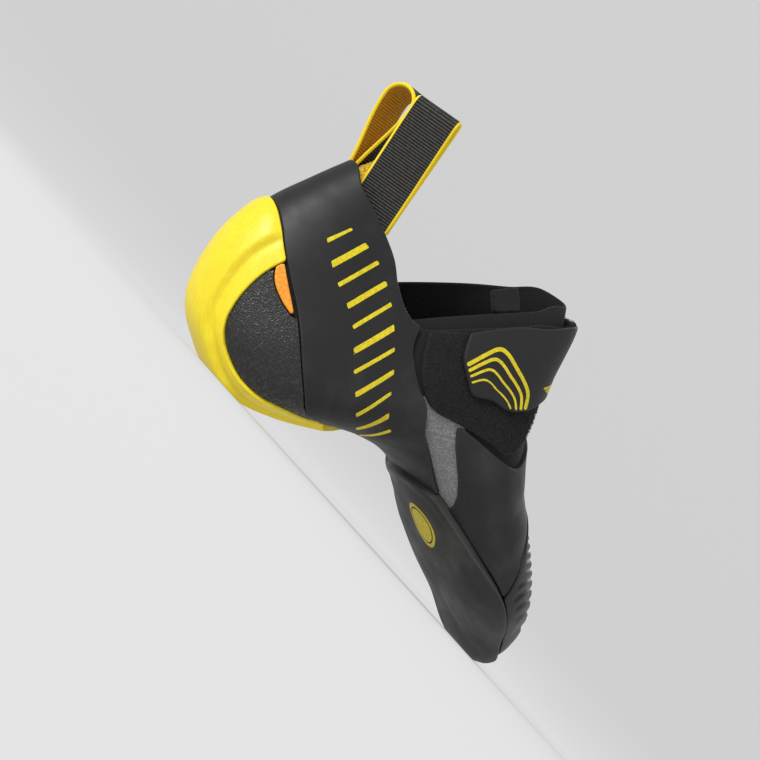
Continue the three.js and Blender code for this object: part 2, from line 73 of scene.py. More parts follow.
LOOP_HEIGHT = 54.0
LOOP_SEAT = 0.863
LOOP_FOOT = 3.4
LOOP_INSET = 3.2

# Steps and details of the fine surfaces
TIP_SECTIONS = 0.35
TIP_DOME = 1.0
SECTION_STEP = 0.06
ANGLE_STEP = 0.04
CURVE_STEPS = 6
LEAST_SLOPE = 0.09
FAR_OUTSIDE = -50.0
ENDLESS = 1e4
COARSE_ROWS = 150
COARSE_COLUMNS = 121
GRID_MARGIN = 3.0
CREASE_REACH = BALL_WIDTH * 0.35
RIB_TURN = math.radians(-35)
RIB_PITCH = 2.7
RIB_DEPTH = 0.7
HOLE_PITCH = 1.7
HOLE_RADIUS = 0.36
HOLE_DEPTH = 0.24
WEB_RIB = 1.15
WEB_RIB_DEPTH = 0.16
SELVEDGE = 1.1
LOOP_STEPS = 460
WEB_STEPS = 25
FIBRE_RINGS = 5
FIBRE_SIDES = 3
PRINT_SINK = 0.3
BAR_START = 0.18
BAR_LEAN = 0.25

# Sections of the last from the toe tip under the foot to above the collar. Columns: x, arch, back,
# topX, top, bend, fore, outer, inner, wide, round, crown, as shares of the sizes above.
SECTIONS = np.array([
    [0.832, 0.1, 0, 0.837, 0.107, 0.44, 1, 0.05, 0.055, 0.5, 2.2, 2],
    [0.823, 0.007, 0, 0.824, 0.188, 0.42, 1, 0.253, 0.264, 0.45, 2.3, 2],
    [0.8, -0.011, 0, 0.791, 0.245, 0.361, 1, 0.453, 0.431, 0.42, 2.5, 2],
    [0.755, 0.036, 0, 0.741, 0.303, 0.278, 1, 0.676, 0.62, 0.4, 2.7, 2],
    [0.686, 0.235, 0, 0.67, 0.366, 0.19, 1, 0.853, 0.811, 0.38, 2.8, 2],
    [0.6, 0.4, 0, 0.589, 0.439, 0.12, 1, 0.962, 0.947, 0.36, 2.8, 2],
    [0.509, 0.61, 0, 0.513, 0.53, 0.078, 1, 0.964, 0.951, 0.36, 2.6, 1.95],
    [0.427, 0.85, 0, 0.453, 0.63, 0.048, 0.8, 0.974, 0.953, 0.38, 2.4, 1.9],
    [0.347, 1, 0, 0.413, 0.727, 0.017, 0.5, 1.008, 0.974, 0.4, 2.3, 1.9],
    [0.264, 0.955, 0, 0.388, 0.82, -0.003, 0.2, 1.053, 0.997, 0.4, 2.2, 1.9],
    [0.178, 0.66, 0, 0.374, 0.9, -0.017, 0, 1.077, 1.003, 0.38, 2.2, 1.9],
    [0.089, 0.225, 0, 0.361, 0.967, -0.017, 0, 1.077, 1.013, 0.36, 2.5, 1.9],
    [0.009, 0, 0, 0.3465, 1.013, 0, 0, 1.058, 1.013, 0.34, 2.8, 1.9],
    [-0.065, 0, 0.045, 0.333, 1.05, 0.027, 0, 0.997, 0.97, 0.33, 2.6, 1.9],
    [-0.125, 0, 0.147, 0.32, 1.08, 0.056, 0, 0.89, 0.84, 0.34, 2.2, 1.9],
    [-0.157, 0, 0.363, 0.3065, 1.115, 0.072, 0, 0.732, 0.71, 0.36, 2.2, 1.9],
    [-0.156, 0, 0.597, 0.293, 1.148, 0.08, 0, 0.603, 0.639, 0.4, 2.2, 1.9],
    [-0.131, 0, 0.812, 0.28, 1.18, 0.087, 0, 0.542, 0.587, 0.44, 2.2, 1.9],
    [-0.104, 0, 1.009, 0.267, 1.213, 0.089, 0, 0.516, 0.548, 0.48, 2.2, 1.9],
    [-0.076, 0, 1.2, 0.254, 1.246, 0.089, 0, 0.5, 0.53, 0.5, 2.2, 1.9],
])
LAST_SECTION = len(SECTIONS) - 1
HEEL_MIDDLE = SECTIONS[15][5] * BALL_WIDTH

# Lines drawn on the shoe from its side: x as a share of the length, then height as a share of
# the heel's height and of the instep's. Plan lines are shares of the length and the ball's width.
SIDE_LINES = {
    "collar": [
        [-0.25, 1.12, 0], [-0.17, 1.09, 0], [-0.13, 1.06, 0], [-0.108, 1.03, 0],
        [-0.088, 0.975, 0], [-0.04, 0.935, 0],
        [0.02, 0.875, 0], [0.055, 0.81, 0], [0.09, 0.765, 0], [0.118, 0, 0.572], [0.142, 0, 0.6],
        [0.185, 0, 0.685], [0.245, 0, 0.8], [0.29, 0, 0.885], [0.33, 0, 0.935], [0.4, 0, 0.97],
        [0.5, 0, 1],
    ],
    "band_rear": [
        [-0.26, 0.8, 0], [-0.169, 0.685, 0], [-0.135, 0.615, 0], [-0.109, 0.554, 0],
        [-0.074, 0.489, 0], [-0.032, 0.417, 0], [0.03, 0.284, 0], [0.076, 0.204, 0],
        [0.117, 0.152, 0], [0.174, 0.054, 0], [0.226, -0.087, 0],
    ],
    "band_front": [
        [0.098, 0, 0.84], [0.12, 0, 0.64], [0.133, 0, 0.53], [0.157, 0, 0.482], [0.187, 0, 0.447],
        [0.22, 0, 0.428], [0.259, 0, 0.375], [0.306, 0, 0.341], [0.356, 0, 0.305],
        [0.412, 0, 0.268], [0.49, 0, 0.21], [0.56, 0, 0.13],
    ],
    "sole_edge": [
        [0.3, 0, 0.3], [0.37, 0, 0.288], [0.439, 0, 0.27], [0.504, 0, 0.246], [0.59, 0, 0.215],
        [0.657, 0, 0.172], [0.71, 0, 0.122], [0.765, 0, 0.081], [0.81, 0, 0.062], [0.9, 0, 0.055],
    ],
    "vamp_rear": [
        [0.45, 0, 0.76], [0.452, 0, 0.66], [0.443, 0, 0.55], [0.425, 0, 0.508], [0.375, 0, 0.49],
        [0.325, 0, 0.478], [0.291, 0, 0.462], [0.31, 0, 0.421], [0.344, 0, 0.381],
        [0.373, 0, 0.349], [0.4, 0, 0.31], [0.414, 0, 0.262], [0.417, 0, 0.1],
    ],
    "toe_rear": [
        [0.545, 0, 0.6], [0.555, 0, 0.48], [0.575, 0, 0.36], [0.6, 0, 0.24], [0.62, 0, 0.1],
    ],
    "seam": [
        [0.24, 0, 0.352], [0.255, 0, 0.366], [0.268, 0, 0.381], [0.284, 0, 0.402], [0.305, 0, 0.428],
        [0.33, 0, 0.455],
    ],
}
OUTLINES = {
    "patch": [
        [0.141, 0, 0.588], [0.162, 0, 0.513], [0.185, 0, 0.466], [0.214, 0, 0.441],
        [0.243, 0, 0.44], [0.28, 0, 0.463], [0.315, 0, 0.486], [0.356, 0, 0.505], [0.39, 0, 0.517],
        [0.405, 0, 0.58], [0.4, 0, 0.67], [0.38, 0, 0.72], [0.33, 0, 0.7], [0.262, 0, 0.665],
        [0.225, 0, 0.69], [0.19, 0, 0.672],
    ],
    "strap": [
        [0.194, 0, 0.678], [0.209, 0, 0.612], [0.236, 0, 0.577], [0.262, 0, 0.557],
        [0.295, 0, 0.59], [0.33, 0, 0.607], [0.361, 0, 0.656], [0.39, 0, 0.735],
        [0.44, 0, 0.8], [0.455, 0, 0.92], [0.4, 0, 1.02], [0.348, 0, 0.965], [0.303, 0, 0.885],
        [0.252, 0, 0.805],
    ],
    "tongue": [
        [0.1, 0, 0.56], [0.124, 0, 0.616], [0.163, 0, 0.7], [0.226, 0, 0.828], [0.276, 0, 0.92],
        [0.32, 0, 1.003], [0.42, 0, 1.02], [0.54, 0, 0.74], [0.5, 0, 0.48], [0.3, 0, 0.46],
        [0.17, 0, 0.46], [0.12, 0, 0.51],
    ],
    "heel_tab": [
        [-0.2, 0.84, 0], [-0.08, 0.8, 0], [-0.06, 0.95, 0], [-0.085, 1.12, 0], [-0.2, 1.16, 0],
    ],
    "lens": [
        [0.2, 0, 0.44], [0.235, 0, 0.37], [0.3, 0, 0.325], [0.37, 0, 0.275], [0.43, 0, 0.25],
        [0.43, 0, 0.3], [0.4, 0, 0.34], [0.36, 0, 0.385], [0.325, 0, 0.43], [0.31, 0, 0.47],
        [0.26, 0, 0.47],
    ],
    "inlay": [
        [-0.109, 0.542, 0], [-0.074, 0.476, 0], [-0.034, 0.404, 0], [-0.045, 0.4, 0],
        [-0.066, 0.412, 0], [-0.088, 0.44, 0], [-0.102, 0.488, 0],
    ],
}
TONGUE_TAB = [[0.222, 0, 0.79], [0.258, 0, 0.864], [0.226, 0, 0.925], [0.19, 0, 0.851]]
SOLE_REAR = [
    [0.47, -0.7], [0.45, -0.5], [0.427, -0.36], [0.376, -0.259], [0.341, -0.12], [0.35, 0.07],
    [0.386, 0.24], [0.4, 0.38], [0.41, 0.65],
]
HEEL_FRONT = [
    [0.03, -0.6], [0.06, -0.4], [0.085, -0.32], [0.117, -0.28], [0.142, -0.223], [0.17, -0.14],
    [0.205, -0.029], [0.235, 0.07], [0.25, 0.16], [0.22, 0.26], [0.16, 0.35], [0.1, 0.5],
]
HEEL_EDGE = [
    [-0.26, -0.07], [-0.2, -0.071], [-0.173, -0.0715], [-0.16, -0.072], [-0.149, -0.079],
    [-0.143, -0.091], [-0.131, -0.11], [-0.112, -0.125], [-0.087, -0.138], [-0.057, -0.158],
    [-0.018, -0.195], [0.026, -0.24], [0.073, -0.263], [0.14, -0.235], [0.2, -0.29], [0.3, -0.5],
]
GROOVE = [
    [-0.26, -0.01], [-0.2, -0.011], [-0.18, -0.0125], [-0.17, -0.015], [-0.163, -0.027],
    [-0.156, -0.042], [-0.14, -0.068], [-0.12, -0.083], [-0.095, -0.092], [-0.069, -0.114],
    [-0.033, -0.134], [0.013, -0.163], [0.085, -0.165], [0.13, -0.19], [0.2, -0.27], [0.3, -0.5],
]

# The pull loops. Columns: name, side of the heel, place of the foot as a share of the length,
# spread as a share of the heel's width, and bulge as a share of the webbing's width.
LOOPS = [
    ["pull_loop_lateral", -1, -0.045, 0.194, 0.35],
    ["pull_loop_medial", 1, -0.063, 0.247, 0.75],
]


def section_at(k):
    """The section table interpolated smoothly at any places between its rows."""
    i = np.clip(np.floor(k).astype(int), 0, LAST_SECTION - 1)
    t = (k - i)[..., None]
    a = SECTIONS[np.maximum(i - 1, 0)]
    b = SECTIONS[i]
    c = SECTIONS[i + 1]
    d = SECTIONS[np.minimum(i + 2, LAST_SECTION)]
    square = (2 * a - 5 * b + 4 * c - d) * t**2
    cubic = (3 * b - a - 3 * c + d) * t**3
    return 0.5 * (2 * b + (c - a) * t + square + cubic)


def last_point(k, angle):
    """Points of the last's surface. Below section 0 the tip closes as a small dome."""
    dome = np.clip(-k / TIP_SECTIONS, 0, 1)
    s = section_at(np.maximum(k, 0))
    x, arch, back, top_x, top, bend, fore, outer, inner, wide, rounding, crown = np.moveaxis(s, -1, 0)
    middle = bend * BALL_WIDTH
    bottom = np.stack([x * LAST_LENGTH, middle,
                       LAST_GROUND + arch * ARCH_RISE + back * HEEL_HEIGHT], -1)
    upper = np.stack([top_x * LAST_LENGTH, middle, top * INSTEP_HEIGHT], -1)
    c = np.cos(angle)
    n = np.sin(angle)
    half = (HEEL_WIDTH + (BALL_WIDTH - HEEL_WIDTH) * fore) / 2
    side = np.where(n < 0, outer, inner) * half
    power = 2 / np.where(c > 0, rounding, crown)
    fall = np.abs(c) ** power
    up = np.where(c > 0, wide * (1 - fall), wide + (1 - wide) * fall)
    point = bottom + (upper - bottom) * up[..., None]
    point[..., 1] += np.sign(n) * np.abs(n) ** power * side
    centre = (bottom + upper) / 2
    point = centre + (point - centre) * np.sqrt(1 - dome**2)[..., None]
    point[..., 0] += TIP_DOME * dome
    return point


def unit(v):
    return v / np.maximum(np.linalg.norm(v, axis=-1, keepdims=True), 1e-9)


def last_surface(k, angle):
    """Points and outward normals of the last, with the creases in it."""
    low = np.maximum(k - SECTION_STEP, -TIP_SECTIONS)
    high = np.minimum(k + SECTION_STEP, LAST_SECTION)
    along = last_point(high, angle) - last_point(low, angle)
    around = last_point(k, angle + ANGLE_STEP) - last_point(k, angle - ANGLE_STEP)
    normal = np.cross(along, around)
    size = np.linalg.norm(normal, axis=-1, keepdims=True)
    normal = np.where(size > 1e-4, unit(normal), np.array([1.0, 0.0, 0.0]))
    point = last_point(k, angle)
    return point + normal * crease_depth(point)[..., None], normal


# Creases as soft troughs and ridges. Columns: middle x, y side and z as shares of the length,
# ball width and instep height, then direction in side view in degrees, length, width, depth in mm.
CREASES = [
    [0.16, -0.4, 0.4, -62, 30, 5, -0.5],
    [0.21, -0.45, 0.36, -58, 34, 4, 0.35],
    [0.5, -0.3, 0.42, 70, 26, 3.5, -0.45],
    [0.545, -0.25, 0.4, 72, 24, 3, 0.3],
    [0.575, -0.2, 0.37, 75, 24, 3, -0.4],
    [0.5, 0.45, 0.42, 70, 26, 3.5, -0.45],
    [0.55, 0.5, 0.38, 72, 24, 3, 0.3],
    [0.36, 0.35, 0.55, 50, 26, 4, -0.5],
    [0.3, 0.4, 0.62, 48, 24, 4, 0.3],
    [0.05, 0.35, 0.55, 60, 30, 6, -0.4],
    [0.0, -0.3, 0.6, -58, 30, 8, -0.4],
]


def crease_depth(p):
    """Depth of the creases at each point, as a sum of soft troughs and ridges."""
    depth = np.zeros(p.shape[:-1])
    for x, y, z, turn, length, width, height in CREASES:
        dx = p[..., 0] - x * LAST_LENGTH
        dz = p[..., 2] - z * INSTEP_HEIGHT
        dy = p[..., 1] - y * BALL_WIDTH
        a = math.radians(turn)
        along = dx * math.cos(a) + dz * math.sin(a)
        across = -dx * math.sin(a) + dz * math.cos(a)
        spread = (along / length) ** 2 + (across / width) ** 2 + (dy / CREASE_REACH) ** 2
        depth += height * np.exp(-spread)
    return depth


def smooth(points, closed=False):
    """A smooth curve through the points of a line."""
    path = np.array(list(points) + ([points[0]] if closed else []), float)
    n = len(path) - 1
    t = np.linspace(0, n, n * CURVE_STEPS + 1)
    i = np.minimum(t.astype(int), n - 1)
    u = (t - i)[:, None]
    a = path[np.maximum(i - 1, 0)]
    b = path[i]
    c = path[i + 1]
    d = path[np.minimum(i + 2, n)]
    return 0.5 * (2 * b + (c - a) * u + (2 * a - 5 * b + 4 * c - d) * u**2
                  + (3 * b - a - 3 * c + d) * u**3)


def side_points(rows):
    """A side line's shares as x and z in millimetres."""
    return [[x * LAST_LENGTH, h * HEEL_HEIGHT + i * INSTEP_HEIGHT] for x, h, i in rows]


def plan_points(rows):
    """A plan line's shares as x and y in millimetres."""
    return np.array(rows) * [LAST_LENGTH, BALL_WIDTH]


def nearest(points, line, endless):
    """Signed distance of flat points to a line, left of it positive, and the line's left normal."""
    start = line[:-1]
    run = line[1:] - start
    length = np.linalg.norm(run, axis=1)
    keep = length > 1e-9
    start, run, length = start[keep], run[keep], length[keep]
    ahead = run / length[:, None]
    low = np.zeros(len(start))
    high = length.copy()
    if endless:
        low[0] = -ENDLESS
        high[-1] = ENDLESS
    distance = np.empty(len(points))
    normal = np.empty((len(points), 2))
    block = 20000
    for first in range(0, len(points), block):
        p = points[first:first + block, None, :]
        rel = p - start
        t = np.clip((rel * ahead).sum(-1), low, high)
        gap = rel - t[..., None] * ahead
        best = (gap**2).sum(-1).argmin(1)
        pick = np.arange(len(best))
        g = gap[pick, best]
        a = ahead[best]
        side = a[:, 0] * g[:, 1] - a[:, 1] * g[:, 0]
        distance[first:first + block] = np.sign(side) * np.linalg.norm(g, axis=1)
        normal[first:first + block] = np.stack([-a[:, 1], a[:, 0]], 1)
    return distance, normal


def laid(distance, gradient, n):
    """A distance in the plane of a drawing, made longer where the surface leans out of it."""
    slope = (gradient * n).sum(-1)
    return distance / np.sqrt(np.clip(1 - slope**2, LEAST_SLOPE, 1))


def inside_outline(points, line):
    """Whether flat points lie inside a closed line, by counting crossings."""
    inside = np.zeros(len(points), bool)
    for (x0, y0), (x1, y1) in zip(line[:-1], line[1:]):
        cross = (y0 > points[:, 1]) != (y1 > points[:, 1])
        if y0 != y1:
            inside ^= cross & (points[:, 0] < x0 + (points[:, 1] - y0) * (x1 - x0) / (y1 - y0))
    return inside


# A region is a function of points and normals. It gives the distance inside its edge along the
# surface, and the direction in which that distance grows.
def flat_region(line, axes, inside=None, grow=0.0, closed=False):
    """The region on one side of a line drawn in the plane of two axes, or inside a closed one."""
    sign = 1.0
    if inside is not None:
        sign = np.sign(nearest(np.array([inside], float), line, True)[0][0])

    def region(p, n):
        flat = p.reshape(-1, 3)[:, axes]
        distance, left = nearest(flat, line, not closed)
        way = np.full(len(flat), sign)
        if closed:
            within = inside_outline(flat, line)
            way = np.where(within, 1.0, -1.0) * np.sign(distance)
            distance = np.abs(distance)
            distance = np.where(within, distance, -distance)
        else:
            distance = distance * sign
        gradient = np.zeros((len(flat), 3))
        gradient[:, axes] = left * way[:, None]
        gradient = gradient.reshape(p.shape)
        return laid((distance + grow).reshape(p.shape[:-1]), gradient, n), gradient

    return region


def side(name, inside, grow=0.0):
    line = smooth(side_points(SIDE_LINES[name]))
    return flat_region(line, [0, 2], inside=inside, grow=grow)


def plan(rows, inside, grow=0.0):
    return flat_region(smooth(plan_points(rows)), [0, 1], inside=inside, grow=grow)


def outline(name, grow=0.0):
    line = smooth(side_points(OUTLINES[name]), closed=True)
    return flat_region(line, [0, 2], grow=grow, closed=True)


def half_space(direction, limit):
    """Points whose share along a direction is below a limit."""
    d = np.array(direction, float)

    def region(p, n):
        return laid(limit - (p * d).sum(-1), -d, n), np.broadcast_to(-d, p.shape).copy()

    return region


def both(*regions):
    def region(p, n):
        f, g = regions[0](p, n)
        for other in regions[1:]:
            f2, g2 = other(p, n)
            g = np.where((f2 < f)[..., None], g2, g)
            f = np.minimum(f, f2)
        return f, g

    return region


def outside(other, gap=0.0):
    def region(p, n):
        f, g = other(p, n)
        return -f - gap, -g

    return region


def either(*regions):
    return outside(both(*[outside(r) for r in regions]))


def outside_heel_line(rows):
    """Everything outside of a line round the heel, on the outer side and mirrored on the inner."""
    k = np.arange(15.5, 1, -0.05)
    s = section_at(k)
    flat = plan(rows, (0, -100))

    def region(p, n):
        middle = np.interp(p[..., 0], s[:, 0] * LAST_LENGTH, s[:, 5] * BALL_WIDTH)
        inner = p[..., 1] > middle
        turn = np.stack([np.ones_like(middle), np.where(inner, -1.0, 1.0), np.ones_like(middle)], -1)
        q = p.copy()
        q[..., 1] = np.where(inner, 2 * middle - p[..., 1], p[..., 1])
        f, g = flat(q, n * turn)
        return f, g * turn

    return region


def below_bottom(rise):
    """Below a line that runs a given height over the sections' lowest points."""
    s = section_at(np.arange(1, 13.01, 0.25))
    line = np.stack([s[:, 0] * LAST_LENGTH,
                     LAST_GROUND + s[:, 1] * ARCH_RISE + s[:, 2] * HEEL_HEIGHT + rise], 1)
    return flat_region(line, [0, 2], inside=(80, -50))


def middle_at(share):
    """The shoe's middle at a share of its length."""
    k = np.arange(1, 13, 0.02)
    s = section_at(k)
    return s[np.abs(s[:, 0] - share).argmin(), 5] * BALL_WIDTH


CLOSURE_MIDDLE = middle_at(0.35)
below_collar = side("collar", (50, 20))
behind_band = side("band_rear", (-60, 0))
sole_region = both(plan(SOLE_REAR, (150, 0)), side("sole_edge", (150, -20)))
under_heel = both(plan(HEEL_FRONT, (0, 0)), below_bottom(HEEL_WRAP))
rear_region = either(behind_band, under_heel)
heel_side = outside_heel_line(HEEL_EDGE)
groove_outside = outside_heel_line(GROOVE)
toe_region = side("toe_rear", (180, 20))
vamp_region = side("vamp_rear", (150, 40))
lateral = half_space((0, 1, 0), HEEL_MIDDLE)
medial = half_space((0, -1, 0), -HEEL_MIDDLE)


def throat_region(p, n):
    """The rounded slot over the instep."""
    rear = 0.25 * LAST_LENGTH
    front = 0.285 * LAST_LENGTH + THROAT_LENGTH - THROAT_WIDTH / 2
    dx = p[..., 0] - np.clip(p[..., 0], rear, front)
    dy = p[..., 1] - CLOSURE_MIDDLE
    distance = np.hypot(dx, dy)
    gradient = unit(np.stack([-dx, -dy, np.zeros_like(dx)], -1))
    high = p[..., 2] > LAST_GROUND + 2 * ARCH_RISE
    f = np.where(high, THROAT_WIDTH / 2 - distance, FAR_OUTSIDE)
    return laid(f, gradient, n), gradient


def fine_patch(region, step, over_top):
    """A grid over the part of the last where a region lies, with cells of about one step. Its seam
    runs underneath for a piece that lies over the top, and along the top for any other."""
    turn = math.pi if over_top else 0.0
    coarse_k = np.linspace(-TIP_SECTIONS, LAST_SECTION, COARSE_ROWS)
    coarse_a = turn - math.pi + np.linspace(0, 2 * math.pi, COARSE_COLUMNS)
    k, a = np.meshgrid(coarse_k, coarse_a, indexing="ij")
    p, n = last_surface(k, a)
    f, _ = region(p, n)
    near = f > -GRID_MARGIN
    rows = np.where(near.any(1))[0]
    columns = np.where(near.any(0))[0]
    r0, r1 = max(rows[0] - 1, 0), min(rows[-1] + 1, len(coarse_k) - 1)
    c0, c1 = max(columns[0] - 1, 0), min(columns[-1] + 1, len(coarse_a) - 1)
    part = p[r0:r1 + 1, c0:c1 + 1]
    use = near[r0:r1 + 1, c0:c1 + 1]
    along = np.linalg.norm(np.diff(part, axis=0), axis=-1) * use[1:]
    around = np.linalg.norm(np.diff(part, axis=1), axis=-1) * use[:, 1:]
    nk = max(4, int(math.ceil(along.max(1).sum() / step)))
    na = max(4, int(math.ceil(around.max(0).sum() / step)))
    k, a = np.meshgrid(np.linspace(coarse_k[r0], coarse_k[r1], nk + 1),
                       np.linspace(coarse_a[c0], coarse_a[c1], na + 1), indexing="ij")
    p, n = last_surface(k, a)
    f, g = region(p, n)
    s = np.zeros(f.shape)
    t = np.zeros(f.shape)
    s[1:] = np.cumsum(np.linalg.norm(np.diff(p, axis=0), axis=-1), axis=0)
    t[:, 1:] = np.cumsum(np.linalg.norm(np.diff(p, axis=1), axis=-1), axis=1)
    t -= t[:, t.shape[1] // 2][:, None]
    return np.concatenate([p, n, g, s[..., None], t[..., None], f[..., None]], -1)


def clip(data, level):
    """Cut a grid along the line where its last column has a level. Gives the vertices' data,
    the faces and the edge's segments, each in the direction of its face."""
    ni, nj, width = data.shape
    flat = data.reshape(-1, width)
    f = flat[:, -1] - level
    index = np.arange(ni * nj).reshape(ni, nj)
    cells = np.stack([index[:-1, :-1], index[1:, :-1], index[1:, 1:], index[:-1, 1:]], -1).reshape(-1, 4)
    count = (f[cells] > 0).sum(1)
    quads = cells[count == 4]
    mixed = cells[(count > 0) & (count < 4)]
    triangles = np.concatenate([mixed[:, [0, 1, 2]], mixed[:, [0, 2, 3]]])
    within = (f[triangles] > 0).sum(1)
    whole = triangles[within == 3]

    def order(rows, flag):
        """Turn each row so that its odd corner comes first."""
        first = flag.argmax(1)
        return rows[np.arange(len(rows))[:, None], (first[:, None] + np.arange(3)) % 3]

    one = triangles[within == 1]
    one = order(one, f[one] > 0)
    two = triangles[within == 2]
    two = order(two, f[two] <= 0)
    pairs = np.concatenate([one[:, [0, 1]], one[:, [0, 2]], two[:, [0, 1]], two[:, [0, 2]]])
    low = np.minimum(pairs[:, 0], pairs[:, 1])
    high = np.maximum(pairs[:, 0], pairs[:, 1])
    keys, back = np.unique(low * (ni * nj) + high, return_inverse=True)
    low, high = keys // (ni * nj), keys % (ni * nj)
    t = (f[low] / (f[low] - f[high]))[:, None]
    new = flat[low] * (1 - t) + flat[high] * t
    ids = ni * nj + back.reshape(-1)
    a, b = len(one), len(two)
    e01, e02 = ids[:a], ids[a:2 * a]
    g01, g02 = ids[2 * a:2 * a + b], ids[2 * a + b:]
    flat = np.concatenate([flat, new])
    faces3 = np.concatenate([whole, np.stack([one[:, 0], e01, e02], 1)])
    faces4 = np.concatenate([quads, np.stack([two[:, 1], two[:, 2], g02, g01], 1)])
    segments = np.concatenate([np.stack([e01, e02], 1), np.stack([g02, g01], 1)])
    used = np.unique(np.concatenate([faces3.ravel(), faces4.ravel()]))
    renumber = np.zeros(len(flat), int)
    renumber[used] = np.arange(len(used))
    return flat[used], renumber[faces3], renumber[faces4], renumber[segments]


def linked(name, data):
    """A new object of the scene."""
    obj = bpy.data.objects.new(name, data)
    bpy.context.scene.collection.objects.link(obj)
    return obj


def mesh_object(name, points, faces, flow=None):
    """A smooth-shaded mesh object from points in millimetres, with any flow coordinates kept."""
    mesh = bpy.data.meshes.new(name)
    mesh.from_pydata((np.asarray(points) * MM).tolist(), [], faces)
    mesh.polygons.foreach_set("use_smooth", [True] * len(mesh.polygons))
    if flow is not None:
        attribute = mesh.attributes.new("flow", "FLOAT_VECTOR", "POINT")
        attribute.data.foreach_set("vector", np.asarray(flow, np.float32).ravel())
    mesh.update()
    return linked(name, mesh)


def finish_piece(obj, look, nodes=()):
    """Give a piece its material and its body, and hide the parts of the model that it stands for."""
    obj.data.materials.append(looks[look])
    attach(obj, "root")
    if nodes:
        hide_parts(*nodes)


def weld(obj, distance=1e-5):
    """Join vertices that lie on one another, as at the toe tip."""
    bm = bmesh.new()
    bm.from_mesh(obj.data)
    bmesh.ops.remove_doubles(bm, verts=bm.verts, dist=distance)
    bmesh.ops.dissolve_degenerate(bm, edges=bm.edges, dist=distance)
    bm.to_mesh(obj.data)
    bm.free()
    obj.data.update()


def layer_piece(name, region, top, radius, step, base=0.0, over_top=False, relief=None, back=None,
                floor=False):
    """A piece that lies on the last: a top face with a rounded edge down to its base, and where
    back is given a second face there, so that it shows from inside as well."""
    data = fine_patch(region, step, over_top)
    rows, faces3, faces4, segments = clip(data, radius)
    p, n, g = rows[:, 0:3], rows[:, 3:6], rows[:, 6:9]
    s, t, f = rows[:, 9], rows[:, 10], rows[:, 11]
    out = -unit(g - (g * n).sum(1, keepdims=True) * n)
    height = np.full(len(rows), float(top))
    if relief is not None:
        height = height + relief(p, n, f, s, t)
    points = [p + n * height[:, None]]
    flow = [np.stack([s, t, f], 1)]
    edge = np.unique(segments)
    place = np.zeros(len(rows), int)
    place[edge] = np.arange(len(edge))
    ends = place[segments]
    lift = height[edge][:, None]
    turns = [math.radians(a) for a in (30, 60, 90)]
    rings = [(math.sin(a), lift - radius * (1 - math.cos(a))) for a in turns]
    if back is None:
        rings.append((1.0, base))
    else:
        rings += [(math.sin(a), back + radius * (1 - math.cos(a))) for a in turns[::-1]]
    faces = faces3.tolist() + faces4.tolist()
    count = len(rows)
    before = edge
    for share, level in rings:
        ids = count + np.arange(len(edge))
        points.append(p[edge] + out[edge] * radius * share + n[edge] * level)
        flow.append(np.stack([s[edge], t[edge], np.zeros(len(edge))], 1))
        a = before[ends[:, 0]]
        b = before[ends[:, 1]]
        faces += np.stack([b, a, ids[ends[:, 0]], ids[ends[:, 1]]], 1).tolist()
        before = ids
        count += len(edge)
    if back is not None:
        under = count + np.arange(len(rows))
        points.append(p + n * back)
        flow.append(np.stack([s, t, f], 1))
        faces += under[faces3][:, ::-1].tolist() + under[faces4][:, ::-1].tolist()
        bottom = under[edge]
        faces += np.stack([before[ends[:, 1]], before[ends[:, 0]], bottom[ends[:, 0]],
                           bottom[ends[:, 1]]], 1).tolist()
    points = np.concatenate(points)
    if floor:
        points[:, 2] = np.maximum(points[:, 2], 0.0)
    obj = mesh_object(name, points, faces, np.concatenate(flow))
    weld(obj)
    return obj


def skin(node, look, region, top, radius, step, slot=None, **more):
    """The fine surface that stands for a node of the model."""
    obj = layer_piece(node + "_skin", region, top, radius, step, **more)
    finish_piece(obj, look, [node])


# Materials, found by their names
looks = {}


